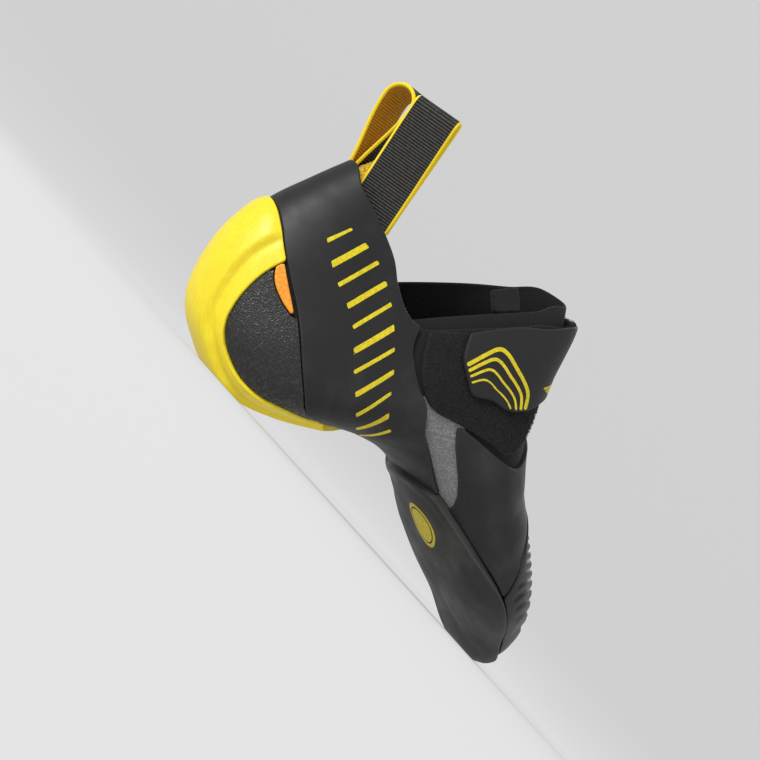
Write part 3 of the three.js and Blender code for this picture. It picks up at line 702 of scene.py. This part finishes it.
class Look:
    """A material with short calls for the procedural nodes that it needs."""

    def __init__(self, name, color, roughness, **sockets):
        self.material = bpy.data.materials.new(name)
        looks[name] = self.material
        self.material.use_nodes = True
        self.tree = self.material.node_tree
        self.shader = self.tree.nodes["Principled BSDF"]
        self.shader.inputs["Base Color"].default_value = (*color, 1)
        self.shader.inputs["Roughness"].default_value = roughness
        for key, value in sockets.items():
            self.shader.inputs[key.replace("_", " ")].default_value = value
        self.place = self.node("ShaderNodeTexCoord").outputs["Object"]
        self.flow = self.node("ShaderNodeAttribute")
        self.flow.attribute_name = "flow"
        self.flow = self.flow.outputs["Vector"]
        self.normal = None

    def node(self, kind, **inputs):
        made = self.tree.nodes.new(kind)
        for key, value in inputs.items():
            self.put(made.inputs[key.replace("_", " ")], value)
        return made

    def put(self, socket, value):
        if isinstance(value, bpy.types.NodeSocket):
            self.tree.links.new(value, socket)
        elif isinstance(value, (tuple, list)) and len(value) == 3 and socket.type == "RGBA":
            socket.default_value = (*value, 1)
        else:
            socket.default_value = value

    def scaled(self, vector, scale, turn=(0, 0, 0)):
        made = self.node("ShaderNodeMapping", Vector=vector, Scale=scale, Rotation=turn)
        return made.outputs["Vector"]

    def noise(self, vector, scale, detail=3.0, roughness=0.5):
        made = self.node("ShaderNodeTexNoise", Vector=vector, Scale=scale, Detail=detail,
                         Roughness=roughness)
        return made.outputs["Fac"]

    def cells(self, vector, scale):
        return self.node("ShaderNodeTexVoronoi", Vector=vector, Scale=scale).outputs["Distance"]

    def math(self, kind, a, b=0.0):
        made = self.tree.nodes.new("ShaderNodeMath")
        made.operation = kind
        self.put(made.inputs[0], a)
        self.put(made.inputs[1], b)
        return made.outputs[0]

    def part(self, vector, axis):
        return self.node("ShaderNodeSeparateXYZ", Vector=vector).outputs[axis]

    def band(self, value, low, high, bottom=0.0, top=1.0):
        """A value spread smoothly from one range to another."""
        made = self.node("ShaderNodeMapRange")
        made.interpolation_type = "SMOOTHSTEP"
        self.put(made.inputs["Value"], value)
        for key, number in zip(("From Min", "From Max", "To Min", "To Max"), (low, high, bottom, top)):
            self.put(made.inputs[key], number)
        return made.outputs["Result"]

    def mix(self, share, a, b):
        made = self.tree.nodes.new("ShaderNodeMix")
        made.data_type = "RGBA"
        self.put(made.inputs["Factor"], share)
        self.put(made.inputs[6], a)
        self.put(made.inputs[7], b)
        return made.outputs[2]

    def color(self, socket):
        self.put(self.shader.inputs["Base Color"], socket)

    def rough(self, socket):
        self.put(self.shader.inputs["Roughness"], socket)

    def bump(self, height, depth_mm, strength=1.0):
        """Add relief of a given depth over what is there already."""
        made = self.node("ShaderNodeBump", Height=height, Distance=depth_mm * MM, Strength=strength)
        if self.normal is not None:
            self.put(made.inputs["Normal"], self.normal)
        self.normal = made.outputs["Normal"]
        self.put(self.shader.inputs["Normal"], self.normal)


def rubber(name, color, dark, light, roughness, grain=(0.5, 6, 6), lines=0.05):
    """Rubber with a brushed grain along the shoe, faint blotches and lighter edges, which are partly
    wear and partly a painted highlight along the rounded edge.
    """
    look = Look(name, color, roughness, Specular_IOR_Level=0.32, Coat_Weight=0.03, Coat_Roughness=0.4)
    streak = look.noise(look.scaled(look.flow, grain), 1.0, 5.0, 0.6)
    blotch = look.noise(look.place, 60.0, 4.0, 0.55)
    fine = look.noise(look.place, 2600.0, 2.0, 0.6)
    tone = look.mix(look.band(streak, 0.3, 0.75), dark, color)
    tone = look.mix(look.band(blotch, 0.45, 0.8, 0.0, 0.55), tone, light)
    # Painted highlight together with wear: the colour turns lighter within 0.9 mm of the piece's edge,
    # over its rounded bevel.
    edge = look.band(look.part(look.flow, "Z"), 0.0, 0.9, 0.5, 0.0)
    look.color(look.mix(edge, tone, light))
    look.rough(look.band(blotch, 0.3, 0.75, roughness + 0.08, roughness - 0.08))
    look.bump(streak, lines)
    look.bump(fine, 0.03)


def yellow_rubber():
    color = (0.84, 0.68, 0.014)
    look = Look("yellow_rubber", color, 0.42, Specular_IOR_Level=0.4, Coat_Weight=0.1,
                Coat_Roughness=0.35, Subsurface_Weight=0.06, Subsurface_Radius=(0.004, 0.003, 0.0005))
    lines = look.noise(look.scaled(look.flow, (0.25, 2.2, 1)), 1.0, 4.0, 0.6)
    blotch = look.noise(look.place, 45.0, 3.0, 0.5)
    fine = look.noise(look.place, 2200.0, 2.0, 0.5)
    tone = look.mix(look.band(lines, 0.3, 0.7), (0.78, 0.6, 0.007), (0.86, 0.71, 0.022))
    look.color(look.mix(look.band(blotch, 0.4, 0.75, 0.0, 0.4), tone, (0.7, 0.53, 0.007)))
    look.rough(look.band(blotch, 0.3, 0.7, 0.5, 0.38))
    look.bump(lines, 0.06)
    look.bump(fine, 0.025)


def panel_rubber():
    look = Look("panel_rubber", (0.011, 0.011, 0.0112), 0.45, Specular_IOR_Level=0.5)
    grains = look.cells(look.place, 1500.0)
    mottle = look.noise(look.place, 700.0, 3.0, 0.7)
    patch = look.noise(look.place, 60.0, 3.0, 0.6)
    look.color(look.mix(look.band(mottle, 0.45, 0.75), (0.006, 0.006, 0.0062), (0.034, 0.034, 0.034)))
    look.rough(look.band(mottle, 0.4, 0.7, 0.55, 0.2))
    look.bump(grains, 0.18)
    look.bump(mottle, 0.2)
    look.bump(patch, 0.3, 0.4)


def orange_rubber():
    look = Look("orange_rubber", (0.83, 0.29, 0.01), 0.5)
    mottle = look.noise(look.place, 900.0, 3.0, 0.6)
    look.color(look.mix(look.band(mottle, 0.35, 0.7), (0.72, 0.23, 0.006), (0.9, 0.36, 0.015)))
    look.bump(mottle, 0.08)


def cloth(name, color, light, scale, depth, sheen=0.3, roughness=0.9):
    """Fine knitted cloth: small loops in rows, with a soft sheen."""
    look = Look(name, color, roughness, Specular_IOR_Level=0.25, Sheen_Weight=sheen,
                Sheen_Roughness=0.5)
    a = look.node("ShaderNodeTexWave", Vector=look.flow, Scale=scale, Distortion=0.6).outputs["Fac"]
    b = look.node("ShaderNodeTexWave", Vector=look.scaled(look.flow, (1, 1, 1), (0, 0, 1.5708)),
                  Scale=scale * 1.3, Distortion=0.8).outputs["Fac"]
    weave = look.math("MULTIPLY", a, b)
    fuzz = look.noise(look.place, 1800.0, 3.0, 0.7)
    look.color(look.mix(look.band(look.math("ADD", weave, fuzz), 0.4, 1.3), color, light))
    look.bump(weave, depth)
    look.bump(fuzz, 0.06)


def suede():
    look = Look("suede_grey", (0.17, 0.17, 0.172), 0.95, Specular_IOR_Level=0.25, Sheen_Weight=0.2,
                Sheen_Roughness=0.4)
    nap = look.noise(look.place, 1500.0, 4.0, 0.7)
    brushed = look.noise(look.scaled(look.flow, (0.8, 0.25, 1)), 1.0, 4.0, 0.6)
    blotch = look.noise(look.place, 90.0, 3.0, 0.6)
    tone = look.mix(look.band(nap, 0.3, 0.75), (0.12, 0.12, 0.122), (0.34, 0.34, 0.34))
    tone = look.mix(look.band(brushed, 0.35, 0.7, 0.0, 0.5), tone, (0.15, 0.15, 0.155))
    look.color(look.mix(look.band(blotch, 0.5, 0.8, 0.0, 0.4), tone, (0.12, 0.12, 0.122)))
    look.bump(nap, 0.14)
    look.bump(brushed, 0.08)


def plain(name, color, roughness, sheen=0.0):
    """Thread, fibre or print: one tone with a little unevenness."""
    look = Look(name, color, roughness, Specular_IOR_Level=0.3, Sheen_Weight=sheen)
    uneven = look.noise(look.place, 900.0, 2.0, 0.5)
    dark = tuple(c * 0.75 for c in color)
    look.color(look.mix(look.band(uneven, 0.3, 0.7), dark, color))
    look.bump(uneven, 0.03)


BLACK = (0.007, 0.007, 0.0072)
DARK = (0.009, 0.009, 0.0092)
CHARCOAL = (0.012, 0.012, 0.0122)
FAINT = (0.02, 0.02, 0.0205)
suede()
cloth("lining_black", BLACK, (0.018, 0.018, 0.0185), 0.35, 0.12, 0.05)
rubber("sole_rubber", (0.023, 0.0228, 0.022), (0.013, 0.013, 0.0128), (0.052, 0.0515, 0.049), 0.52)
rubber("toe_rubber", (0.013, 0.013, 0.0132), DARK, (0.025, 0.025, 0.025), 0.45)
yellow_rubber()
rubber("band_rubber", CHARCOAL, DARK, (0.032, 0.032, 0.0322), 0.5, (1.2, 1.2, 1), 0.03)
panel_rubber()
orange_rubber()
plain("fuzzy_loop", BLACK, 0.7, 0.05)
# Painted highlight: the pile's fibres are a lighter copy of the black patch they stand on, so that they
# show as glints.
plain("loop_pile", FAINT, 0.38, 0.1)
cloth("strap_cloth", CHARCOAL, FAINT, 0.5, 0.05, 0.05, 0.6)
plain("yellow_cloth", (0.86, 0.58, 0.02), 0.9, 0.3)
plain("yellow_print", (0.72, 0.58, 0.015), 0.5)


# Rubber on the last
def hump(x, middle, width):
    """A soft hump of height 1 across a line."""
    return np.exp(-(((x - middle) / width) ** 2))


def eased(u):
    """A share from 0 to 1 that starts and ends softly."""
    return u * u * (3 - 2 * u)


def sole_relief(p, n, f, s, t):
    """A low rim just inside the sole's edge with a shallow trough inside it."""
    return 0.25 * hump(f, 2.5, 1.6) - 0.2 * hump(f, 6, 2.5)


def heel_relief(p, n, f, s, t):
    """From the thick heel body over its groove to the thin flange, and thinner towards the band."""
    body, _ = outside(groove_outside)(p, n)
    rise = eased(np.clip((body + 0.4) / 3.2, 0, 1))
    groove = -0.45 * hump(body, -0.3, 1.1)
    to_band, _ = behind_band(p, n)
    taper = np.clip(to_band / 7.0, 0, 1)
    under = np.clip(-n[:, 2], 0, 1)
    taper = np.maximum(taper, under)
    return (rise - 1) * (HEEL_TOP - FLANGE_TOP) + groove - (1 - taper) ** 2 * 1.6 * rise


def toe_relief(p, n, f, s, t):
    """Ribs across the top of the toe."""
    along = p[:, 0] * math.cos(RIB_TURN) + p[:, 1] * math.sin(RIB_TURN)
    wave = 0.5 + 0.5 * np.sin(2 * math.pi * along / RIB_PITCH)
    wave = np.clip((wave - 0.25) / 0.5, 0, 1)
    inner = np.clip((f - 3.0) / 1.0, 0, 1)
    top = np.clip((n[:, 2] - 0.05) / 0.2, 0, 1)
    return -RIB_DEPTH * (1 - wave) * inner * top


off_sole = outside(sole_region, CLEARANCE)
off_rubber = outside(outside(heel_side), CLEARANCE)
skin("outsole", "sole_rubber", sole_region, SOLE_TOP, 0.9, 1.0, relief=sole_relief, floor=True)
skin("heel_rubber", "yellow_rubber", both(rear_region, outside(heel_side)), HEEL_TOP, 0.6, 0.8,
     relief=heel_relief, floor=True)
skin("tension_band", "band_rubber",
     both(side("band_front", (0, 20)), outside(behind_band, CLEARANCE), below_collar, off_sole,
          outside(under_heel, CLEARANCE)), BAND_TOP, 0.6, 0.9)
panel_region = both(rear_region, off_rubber)
skin("heel_panel_lateral", "panel_rubber",
     both(panel_region, lateral, outside(outline("inlay"), CLEARANCE)), PANEL_TOP, 0.4, 0.9)
skin("heel_panel_medial", "panel_rubber", both(panel_region, medial), PANEL_TOP, 0.4, 0.9)
skin("heel_inlay", "orange_rubber", both(outline("inlay"), lateral, off_rubber),
     PANEL_TOP + CLEARANCE, 0.4, 0.6)
skin("toe_rubber", "toe_rubber", both(toe_region, off_sole), TOE_TOP, 0.6, 0.55, "sole_rubber",
     over_top=True, relief=toe_relief)
skin("vamp_panel", "band_rubber", both(vamp_region, outside(toe_region, CLEARANCE), off_sole),
     PANEL_TOP, 0.5, 0.9, over_top=True)


# Cloth and suede
def suede_relief(p, n, f, s, t):
    """Pinholes in rows between the patch and the seam, and the seam's trough."""
    seam, _ = side("seam", (0, 0))(p, n)
    trough = -0.22 * hump(seam, 0, 0.5) + 0.1 * hump(np.abs(seam), 1.3, 0.6)
    rise = (p[:, 2] - 0.36 * INSTEP_HEIGHT) / HOLE_PITCH
    run = p[:, 0] / HOLE_PITCH + 0.5 * (np.floor(rise) % 2)
    u = run - np.floor(run) - 0.5
    v = rise - np.floor(rise) - 0.5
    hole = hump(np.hypot(u, v) * HOLE_PITCH, 0, HOLE_RADIUS)
    return trough - HOLE_DEPTH * hole * np.clip((-seam - 1.6) / 0.6, 0, 1)


skin("upper", "lining_black", both(below_collar, outside(throat_region)), 0.0, 0.9, 2.0,
     back=-UPPER_WALL)
finish_piece(layer_piece("suede_inset", both(outline("lens"), below_collar), 0.25, 0.2, 0.4,
                         over_top=True, relief=suede_relief), "suede_grey")
skin("insole", "lining_black", below_bottom(INSOLE_EDGE), -INNER_FACE, 0.6, 2.4,
     back=-INNER_FACE - INSOLE_DEPTH)
skin("tongue", "lining_black", outline("tongue"), -INNER_FACE, 0.7, 1.2, over_top=True,
     back=-INNER_FACE - TONGUE_DEPTH)
outer_half = half_space((0, 1, 0), CLOSURE_MIDDLE)
tab_line = np.array(side_points(TONGUE_TAB + TONGUE_TAB[:1]))
tab_region = both(flat_region(tab_line, [0, 2], closed=True), outer_half,
                  outside(outline("tongue"), CLEARANCE))
skin("tongue_tab", "lining_black", tab_region, -UPPER_WALL, 0.8, 0.5, over_top=True,
     back=-INNER_FACE - TAB_DEPTH)
heel_tab_region = both(outline("heel_tab"), half_space((0, 1, 0), HEEL_MIDDLE + TAB_WIDTH / 2),
                       half_space((0, -1, 0), TAB_WIDTH / 2 - HEEL_MIDDLE))
skin("heel_tab", "yellow_cloth", heel_tab_region, -INNER_FACE, 1.2, 0.6,
     back=-INNER_FACE - TAB_DEPTH)
patch_region = both(outline("patch"), outer_half, side("collar", (50, 20), -CLEARANCE),
                    outside(side("band_front", (0, 20)), CLEARANCE))
skin("loop_patch", "fuzzy_loop", patch_region, PANEL_TOP, 0.6, 0.8, over_top=True)
skin("strap", "strap_cloth", outline("strap"), STRAP_TOP, 0.8, 0.7, over_top=True, back=STRAP_BASE)


# Short fibres of the hook-and-loop pile and of the brushed tab
def fibres(name, region, heights, count, reach, rise, width, over_top, seed):
    """Curled fibres that stand on a layer, each a thin tube with three sides. The heights are
    pairs of a layer's height and the way that its fibres point."""
    rng = np.random.default_rng(seed)
    data = fine_patch(region, 0.5, over_top)
    data = data[data[..., -1] > 0.2]
    data = data[rng.integers(0, len(data), count)]
    p, n = data[:, 0:3], data[:, 3:6]
    way = rng.normal(size=(count, 3))
    way = unit(way - (way * n).sum(1, keepdims=True) * n)
    aside = np.cross(n, way)
    pick = rng.integers(0, len(heights), count)
    height = np.array([h[0] for h in heights])[pick][:, None]
    facing = np.array([h[1] for h in heights])[pick][:, None]
    tall = rise * rng.uniform(0.5, 1.2, (count, 1))
    long = reach * rng.uniform(0.5, 1.2, (count, 1))
    curl = rng.uniform(-0.35, 0.35, (count, 1)) * long
    middle = []
    for t in np.linspace(0, 1, FIBRE_RINGS):
        middle.append(p + way * long * (t - 0.5) + aside * curl * math.sin(2 * math.pi * t)
                      + n * (height + facing * (tall * math.sin(math.pi * t) - 0.1)))
    rings = []
    for centre in middle:
        for corner in range(FIBRE_SIDES):
            a = corner * 2 * math.pi / FIBRE_SIDES
            rings.append(centre + (aside * math.cos(a) + n * math.sin(a)) * width / 2)
    points = np.stack(rings, 1).reshape(-1, 3)
    base = (np.arange(count) * FIBRE_RINGS * FIBRE_SIDES)[:, None]
    faces = []
    for ring in range(0, (FIBRE_RINGS - 1) * FIBRE_SIDES, FIBRE_SIDES):
        for corner in range(FIBRE_SIDES):
            a, b = ring + corner, ring + (corner + 1) % FIBRE_SIDES
            faces += (base + np.array([[a, b, b + FIBRE_SIDES, a + FIBRE_SIDES]])).tolist()
    return mesh_object(name, points, faces)


finish_piece(fibres("loop_patch_pile", patch_region, [(PANEL_TOP, 1)], 6500, 1.1, 0.6, 0.15, True, 1),
             "loop_pile")
strap_rim = both(outline("strap", 0.6), outside(outline("strap", -0.4)))
finish_piece(fibres("strap_edge_pile", strap_rim, [(STRAP_BASE + 0.4, 1)], 900, 0.9, 0.5, 0.14, True, 2),
             "fuzzy_loop")
tab_faces = [(-INNER_FACE, 1), (-INNER_FACE - TAB_DEPTH, -1)]
finish_piece(fibres("heel_tab_pile", heel_tab_region, tab_faces, 3500, 1.0, 0.7, 0.18, False, 3),
             "yellow_cloth")


# Printed marks: slanted bars down the band, lines on the strap and a plain badge on the sole
def print_points(rows):
    """A printed line's shares of the length and the instep's height as x and z in millimetres."""
    return np.array(rows) * [LAST_LENGTH, INSTEP_HEIGHT]


def along_line(line, share):
    """Points at shares of a line's length, and their way along it."""
    run = np.concatenate([[0], np.cumsum(np.linalg.norm(np.diff(line, axis=0), axis=1))])
    way = np.asarray(share) * run[-1]
    return np.stack([np.interp(way, run, line[:, i]) for i in (0, 1)], -1), way


def print_bars(low, high, count, filled):
    """A region of bars that cross a strip between two lines, a little slanted."""
    low = smooth(low)
    high = smooth(high)
    regions = []
    for i in range(count):
        a = (i + BAR_START) / count
        b = (i + BAR_START + filled[i % len(filled)]) / count
        lean = BAR_LEAN / count
        corners = [(low, a), (low, b), (high, b - lean), (high, a - lean), (low, a)]
        ring = np.stack([along_line(*corner)[0] for corner in corners])
        regions.append(flat_region(ring, [0, 2], closed=True))
    return either(*regions)


def printed(name, region, look, level, rise, sink, radius, step, over_top=False):
    """A thin print that rises a little over the layer it lies on."""
    finish_piece(layer_piece(name, region, level + rise, radius, step, base=level - sink,
                             over_top=over_top), look)


def stroke(line, width):
    """A region that lies within half a width of a line seen from the side."""
    def region(p, n):
        flat = p.reshape(-1, 3)[:, [0, 2]]
        rel = flat[:, None, :] - line[:-1]
        run = line[1:] - line[:-1]
        t = np.clip((rel * run).sum(-1) / (run**2).sum(-1), 0, 1)
        gap = rel - t[..., None] * run
        size = np.linalg.norm(gap, axis=-1)
        best = size.argmin(1)
        pick = np.arange(len(best))
        g = np.zeros((len(best), 3))
        g[:, [0, 2]] = -gap[pick, best] / np.maximum(size[pick, best], 1e-6)[:, None]
        g = g.reshape(p.shape)
        return laid((width / 2 - size[pick, best]).reshape(p.shape[:-1]), g, n), g

    return region


BAND_LOW = print_points([
    [-0.082, 0.545], [-0.032, 0.48], [0.035, 0.425], [0.096, 0.317], [0.163, 0.237], [0.237, 0.232],
])
BAND_HIGH = print_points([
    [-0.061, 0.618], [0, 0.614], [0.065, 0.555], [0.126, 0.446], [0.186, 0.324], [0.247, 0.298],
])
bars = both(print_bars(BAND_LOW, BAND_HIGH, 11, (0.2, 0.3, 0.2, 0.26)), lateral)
printed("band_print", bars, "yellow_print", BAND_TOP, 0.08, PRINT_SINK, 0.05, 0.5)

# Lines on the strap: the first and the last of the four, and the line down its front edge
STRAP_FIRST = print_points([
    [0.222, 0.605], [0.236, 0.67], [0.248, 0.712], [0.265, 0.722], [0.29, 0.716], [0.315, 0.708],
    [0.338, 0.69], [0.351, 0.654],
])
STRAP_LAST = print_points([
    [0.244, 0.575], [0.252, 0.6], [0.259, 0.615], [0.268, 0.622], [0.285, 0.624], [0.305, 0.625],
    [0.32, 0.622], [0.333, 0.614],
])
FRONT_LINE = print_points([[0.383, 0.745], [0.408, 0.8], [0.428, 0.9], [0.39, 0.985]])
for i, width in enumerate((1.5, 1.2, 0.9, 0.7)):
    rise = smooth(STRAP_FIRST + (STRAP_LAST - STRAP_FIRST) * i / 3)
    front = smooth(FRONT_LINE + np.array([-1.7 * i, 0]))
    region = both(either(stroke(rise, width), stroke(front, 0.9)), outline("strap", -0.8),
                  half_space((0, 1, 0), CLOSURE_MIDDLE + 4))
    printed("strap_line_" + str(i + 1), region, "yellow_print", STRAP_TOP, 0.1,
            PRINT_SINK, 0.05, 0.35, over_top=True)

# The badge. Columns: name, radius in mm, height over the sole, look and slot
BADGE_PLACE = np.array([102.9, -9.1, 21.7])
BADGE_PARTS = [
    ["badge_ring", 10.0, 0.08, "yellow_print", "yellow_rubber"],
    ["badge_groove", 8.3, 0.14, "fuzzy_loop", "sole_rubber"],
    ["badge_face", 7.6, 0.2, "yellow_print", "yellow_rubber"],
]


def ball(centre, radius):
    """A region within a radius of a point."""
    def region(p, n):
        gap = p - centre
        gap = gap - (gap * n).sum(-1, keepdims=True) * n
        size = np.linalg.norm(gap, axis=-1)
        far = np.linalg.norm(p - centre, axis=-1) > 3 * radius
        return np.where(far, FAR_OUTSIDE, radius - size), -unit(gap)

    return region


for name, radius, rise, look, slot in BADGE_PARTS:
    printed(name, ball(BADGE_PLACE, radius), look, SOLE_TOP, rise, 0.4, 0.06, 0.4)


# Pull loops of ribbed webbing
def drop_path(steps, bulge):
    """The middle line of a loop's webbing in its own plane: up one leg, round the top and down."""
    half = (bulge - WEB_THICKNESS) / 2
    foot = (LOOP_FOOT - WEB_THICKNESS) / 2
    shoulder = LOOP_HEIGHT - bulge / 2
    rise = np.linspace(0.05 * LOOP_HEIGHT, shoulder, 200)
    open_way = np.clip((rise / LOOP_HEIGHT - 0.2) / (shoulder / LOOP_HEIGHT - 0.2), 0, 1)
    apart = foot + (half - foot) * eased(open_way)
    turn = np.linspace(0, math.pi, 60)[1:-1]
    leg = np.stack([apart, rise], 1)
    top = np.stack([half * np.cos(turn), shoulder + half * np.sin(turn)], 1)
    line = np.concatenate([leg, top, leg[::-1] * [-1, 1]])
    return along_line(line, np.linspace(0, 1, steps))


def webbing_look():
    """Black webbing with grey ribs across it, yellow along both edges and inside the loop."""
    look = Look("webbing", (0.02, 0.02, 0.02), 0.8, Specular_IOR_Level=0.3)
    s = look.part(look.flow, "X")
    across = look.part(look.flow, "Y")
    face = look.part(look.flow, "Z")
    dash = look.noise(look.scaled(look.flow, (0.4, 0.9, 1)), 1.0, 3.0, 0.6)
    rib = look.math("SINE", look.math("MULTIPLY", s, 2 * math.pi / WEB_RIB))
    grey = look.band(look.math("ADD", rib, look.math("MULTIPLY", look.math("SUBTRACT", dash, 0.5), 3.0)),
                     -0.2, 0.7)
    outer = look.mix(grey, (0.006, 0.006, 0.006), (0.06, 0.056, 0.048))
    inner = look.mix(grey, (0.42, 0.22, 0.008), (0.72, 0.42, 0.015))
    tone = look.mix(look.band(face, 0.4, 0.6), outer, inner)
    edge = look.band(look.math("ABSOLUTE", across), WEB_WIDTH / 2 - SELVEDGE, WEB_WIDTH / 2 - 0.8)
    look.color(look.mix(edge, tone, (0.85, 0.62, 0.02)))
    look.bump(look.noise(look.place, 2500.0, 2.0, 0.5), 0.08)


webbing_look()


def pull_loop(node, turn, place, spread, bulge):
    """One loop of webbing. turn is -1 on the outer side and 1 on the inner side."""
    line, s = drop_path(LOOP_STEPS, bulge * WEB_WIDTH)
    ahead = unit(np.gradient(line, axis=0))
    out = np.stack([ahead[:, 1], -ahead[:, 0]], 1)
    w = np.linspace(-WEB_WIDTH / 2, WEB_WIDTH / 2, WEB_STEPS)
    to_edge = WEB_WIDTH / 2 - np.abs(w)
    rib = WEB_RIB_DEPTH * np.sin(2 * math.pi * s / WEB_RIB)[:, None] * np.clip(to_edge - 0.8, 0, 1)
    selvedge = 0.12 * (np.abs(w) > WEB_WIDTH / 2 - SELVEDGE)
    thin = np.clip(to_edge / 0.6, 0, 1) ** 0.5
    across = unit(np.array([0.78, 0.59 * turn, 0.2]))
    lean = np.array([-0.3, -0.06, 0.95])
    face = unit(np.cross(lean, across))
    up = np.cross(across, face)
    beside = HEEL_MIDDLE + turn * spread * HEEL_WIDTH
    origin = np.array([place * LAST_LENGTH, beside, LOOP_SEAT * HEEL_HEIGHT])
    points, flow = [], []
    for sign in (1, -1):
        half = (WEB_THICKNESS / 2 + (rib if sign > 0 else rib * 0.6) + selvedge) * (0.25 + 0.75 * thin)
        flat = line[:, None, :] + sign * out[:, None, :] * half[..., None]
        p = (origin + (flat[..., 0:1] - turn * LOOP_INSET) * face + flat[..., 1:2] * up
             + w[None, :, None] * across)
        points.append(p.reshape(-1, 3))
        flow.append(np.stack([np.broadcast_to(s[:, None], half.shape), np.broadcast_to(w, half.shape),
                              np.full(half.shape, 0.0 if sign > 0 else 1.0)], -1).reshape(-1, 3))
    index = np.arange(LOOP_STEPS * WEB_STEPS).reshape(LOOP_STEPS, WEB_STEPS)
    a, b, c, d = index[:-1, :-1], index[1:, :-1], index[1:, 1:], index[:-1, 1:]
    quads = np.stack([a, b, c, d], -1).reshape(-1, 4)
    low = quads + index.size
    faces = quads.tolist() + low[:, ::-1].tolist()
    for rim in (index[:, 0], index[::-1, -1], index[0, ::-1], index[-1]):
        start, end = rim[:-1], rim[1:]
        faces += np.stack([start, start + index.size, end + index.size, end], -1).tolist()
    obj = mesh_object(node + "_web", np.concatenate(points), faces, np.concatenate(flow))
    finish_piece(obj, "webbing", nodes=[node])


for row in LOOPS:
    pull_loop(*row)

# A pale studio that curves up all round, so that no edge shows behind the shoe
STUDIO_RADIUS = 1.3
STUDIO_CURVE = 2.6
STUDIO_HEIGHT = 3.2
STUDIO_STEPS = 40
STUDIO_SIDES = 96


def studio():
    look = Look("studio_pale", (0.3, 0.3, 0.303), 1.0, Specular_IOR_Level=0.0,
                Emission_Color=(1.0, 1.0, 1.0, 1.0), Emission_Strength=0.44)
    profile = [(0.0, 0.0), (0.4, 0.0), (0.8, 0.0), (STUDIO_RADIUS, 0.0)]
    stride = STUDIO_CURVE / STUDIO_STEPS
    for i in range(STUDIO_STEPS):
        u = (i + 0.5) / STUDIO_STEPS
        a = math.pi / 2 * eased(u)
        r, z = profile[-1]
        profile.append((r + stride * math.cos(a), z + stride * math.sin(a)))
    profile.append((profile[-1][0], STUDIO_HEIGHT))
    sides = STUDIO_SIDES
    points, faces = [], []
    for r, z in profile:
        for j in range(sides):
            a = j / sides * 2 * math.pi
            points.append((r / MM * math.cos(a), r / MM * math.sin(a), z / MM))
    for i in range(len(profile) - 1):
        for j in range(sides):
            n = (j + 1) % sides
            faces.append((i * sides + j, (i + 1) * sides + j, (i + 1) * sides + n, i * sides + n))
    obj = mesh_object("studio", points, faces)
    weld(obj, 1e-4)
    obj.data.materials.append(look.material)


studio()

# Camera at the photograph's angle to the shoe, lowered to the floor and rolled
CAMERA_BEHIND = 27.6
CAMERA_DISTANCE = 1.0
CAMERA_HEIGHT = 0.006
CAMERA_ROLL = 48.0
FRAME_WIDTH = 0.305
FRAME_SHIFT = (-0.0755, 0.044)
SENSOR = 36.0
target = Vector((0.078, 0.006, 0.056))
behind = math.radians(CAMERA_BEHIND)
to_camera = Vector((-math.sin(behind), -math.cos(behind), 0.0))
camera = linked("camera", bpy.data.cameras.new("camera"))
camera.data.sensor_width = SENSOR
camera.data.lens = SENSOR * CAMERA_DISTANCE / FRAME_WIDTH
camera.data.shift_x, camera.data.shift_y = FRAME_SHIFT
camera.location = target + to_camera * CAMERA_DISTANCE
camera.location.z = CAMERA_HEIGHT
camera.rotation_mode = "QUATERNION"
look_way = (target - camera.location).to_track_quat("-Z", "Y")
camera.rotation_quaternion = look_way @ Quaternion((0, 0, 1), math.radians(CAMERA_ROLL))
camera.data.clip_start = 0.002
camera.data.clip_end = 50
bpy.context.scene.camera = camera


def area_light(name, place, size, power):
    """A soft lamp that faces the shoe, with its size in metres and its power in watts."""
    data = bpy.data.lights.new(name, "AREA")
    data.shape = "DISK"
    data.size = size
    data.energy = power
    lamp = linked(name, data)
    lamp.location = place
    lamp.rotation_mode = "QUATERNION"
    lamp.rotation_quaternion = (target - Vector(place)).to_track_quat("-Z", "Y")


area_light("key_light", (-1.5, -0.5, 0.7), 0.6, 24)
area_light("top_light", (0.0, 0.1, 1.9), 1.2, 5)
area_light("front_light", (0.9, -1.7, 0.6), 0.9, 4)
area_light("rim_light", (0.9, 1.3, 0.9), 0.8, 5)
world = bpy.data.worlds.new("world")
world.use_nodes = True
background = world.node_tree.nodes["Background"].inputs
background["Color"].default_value = (0.82, 0.83, 0.84, 1)
background["Strength"].default_value = 0.3
bpy.context.scene.world = world
bpy.context.scene.view_settings.view_transform = "Standard"
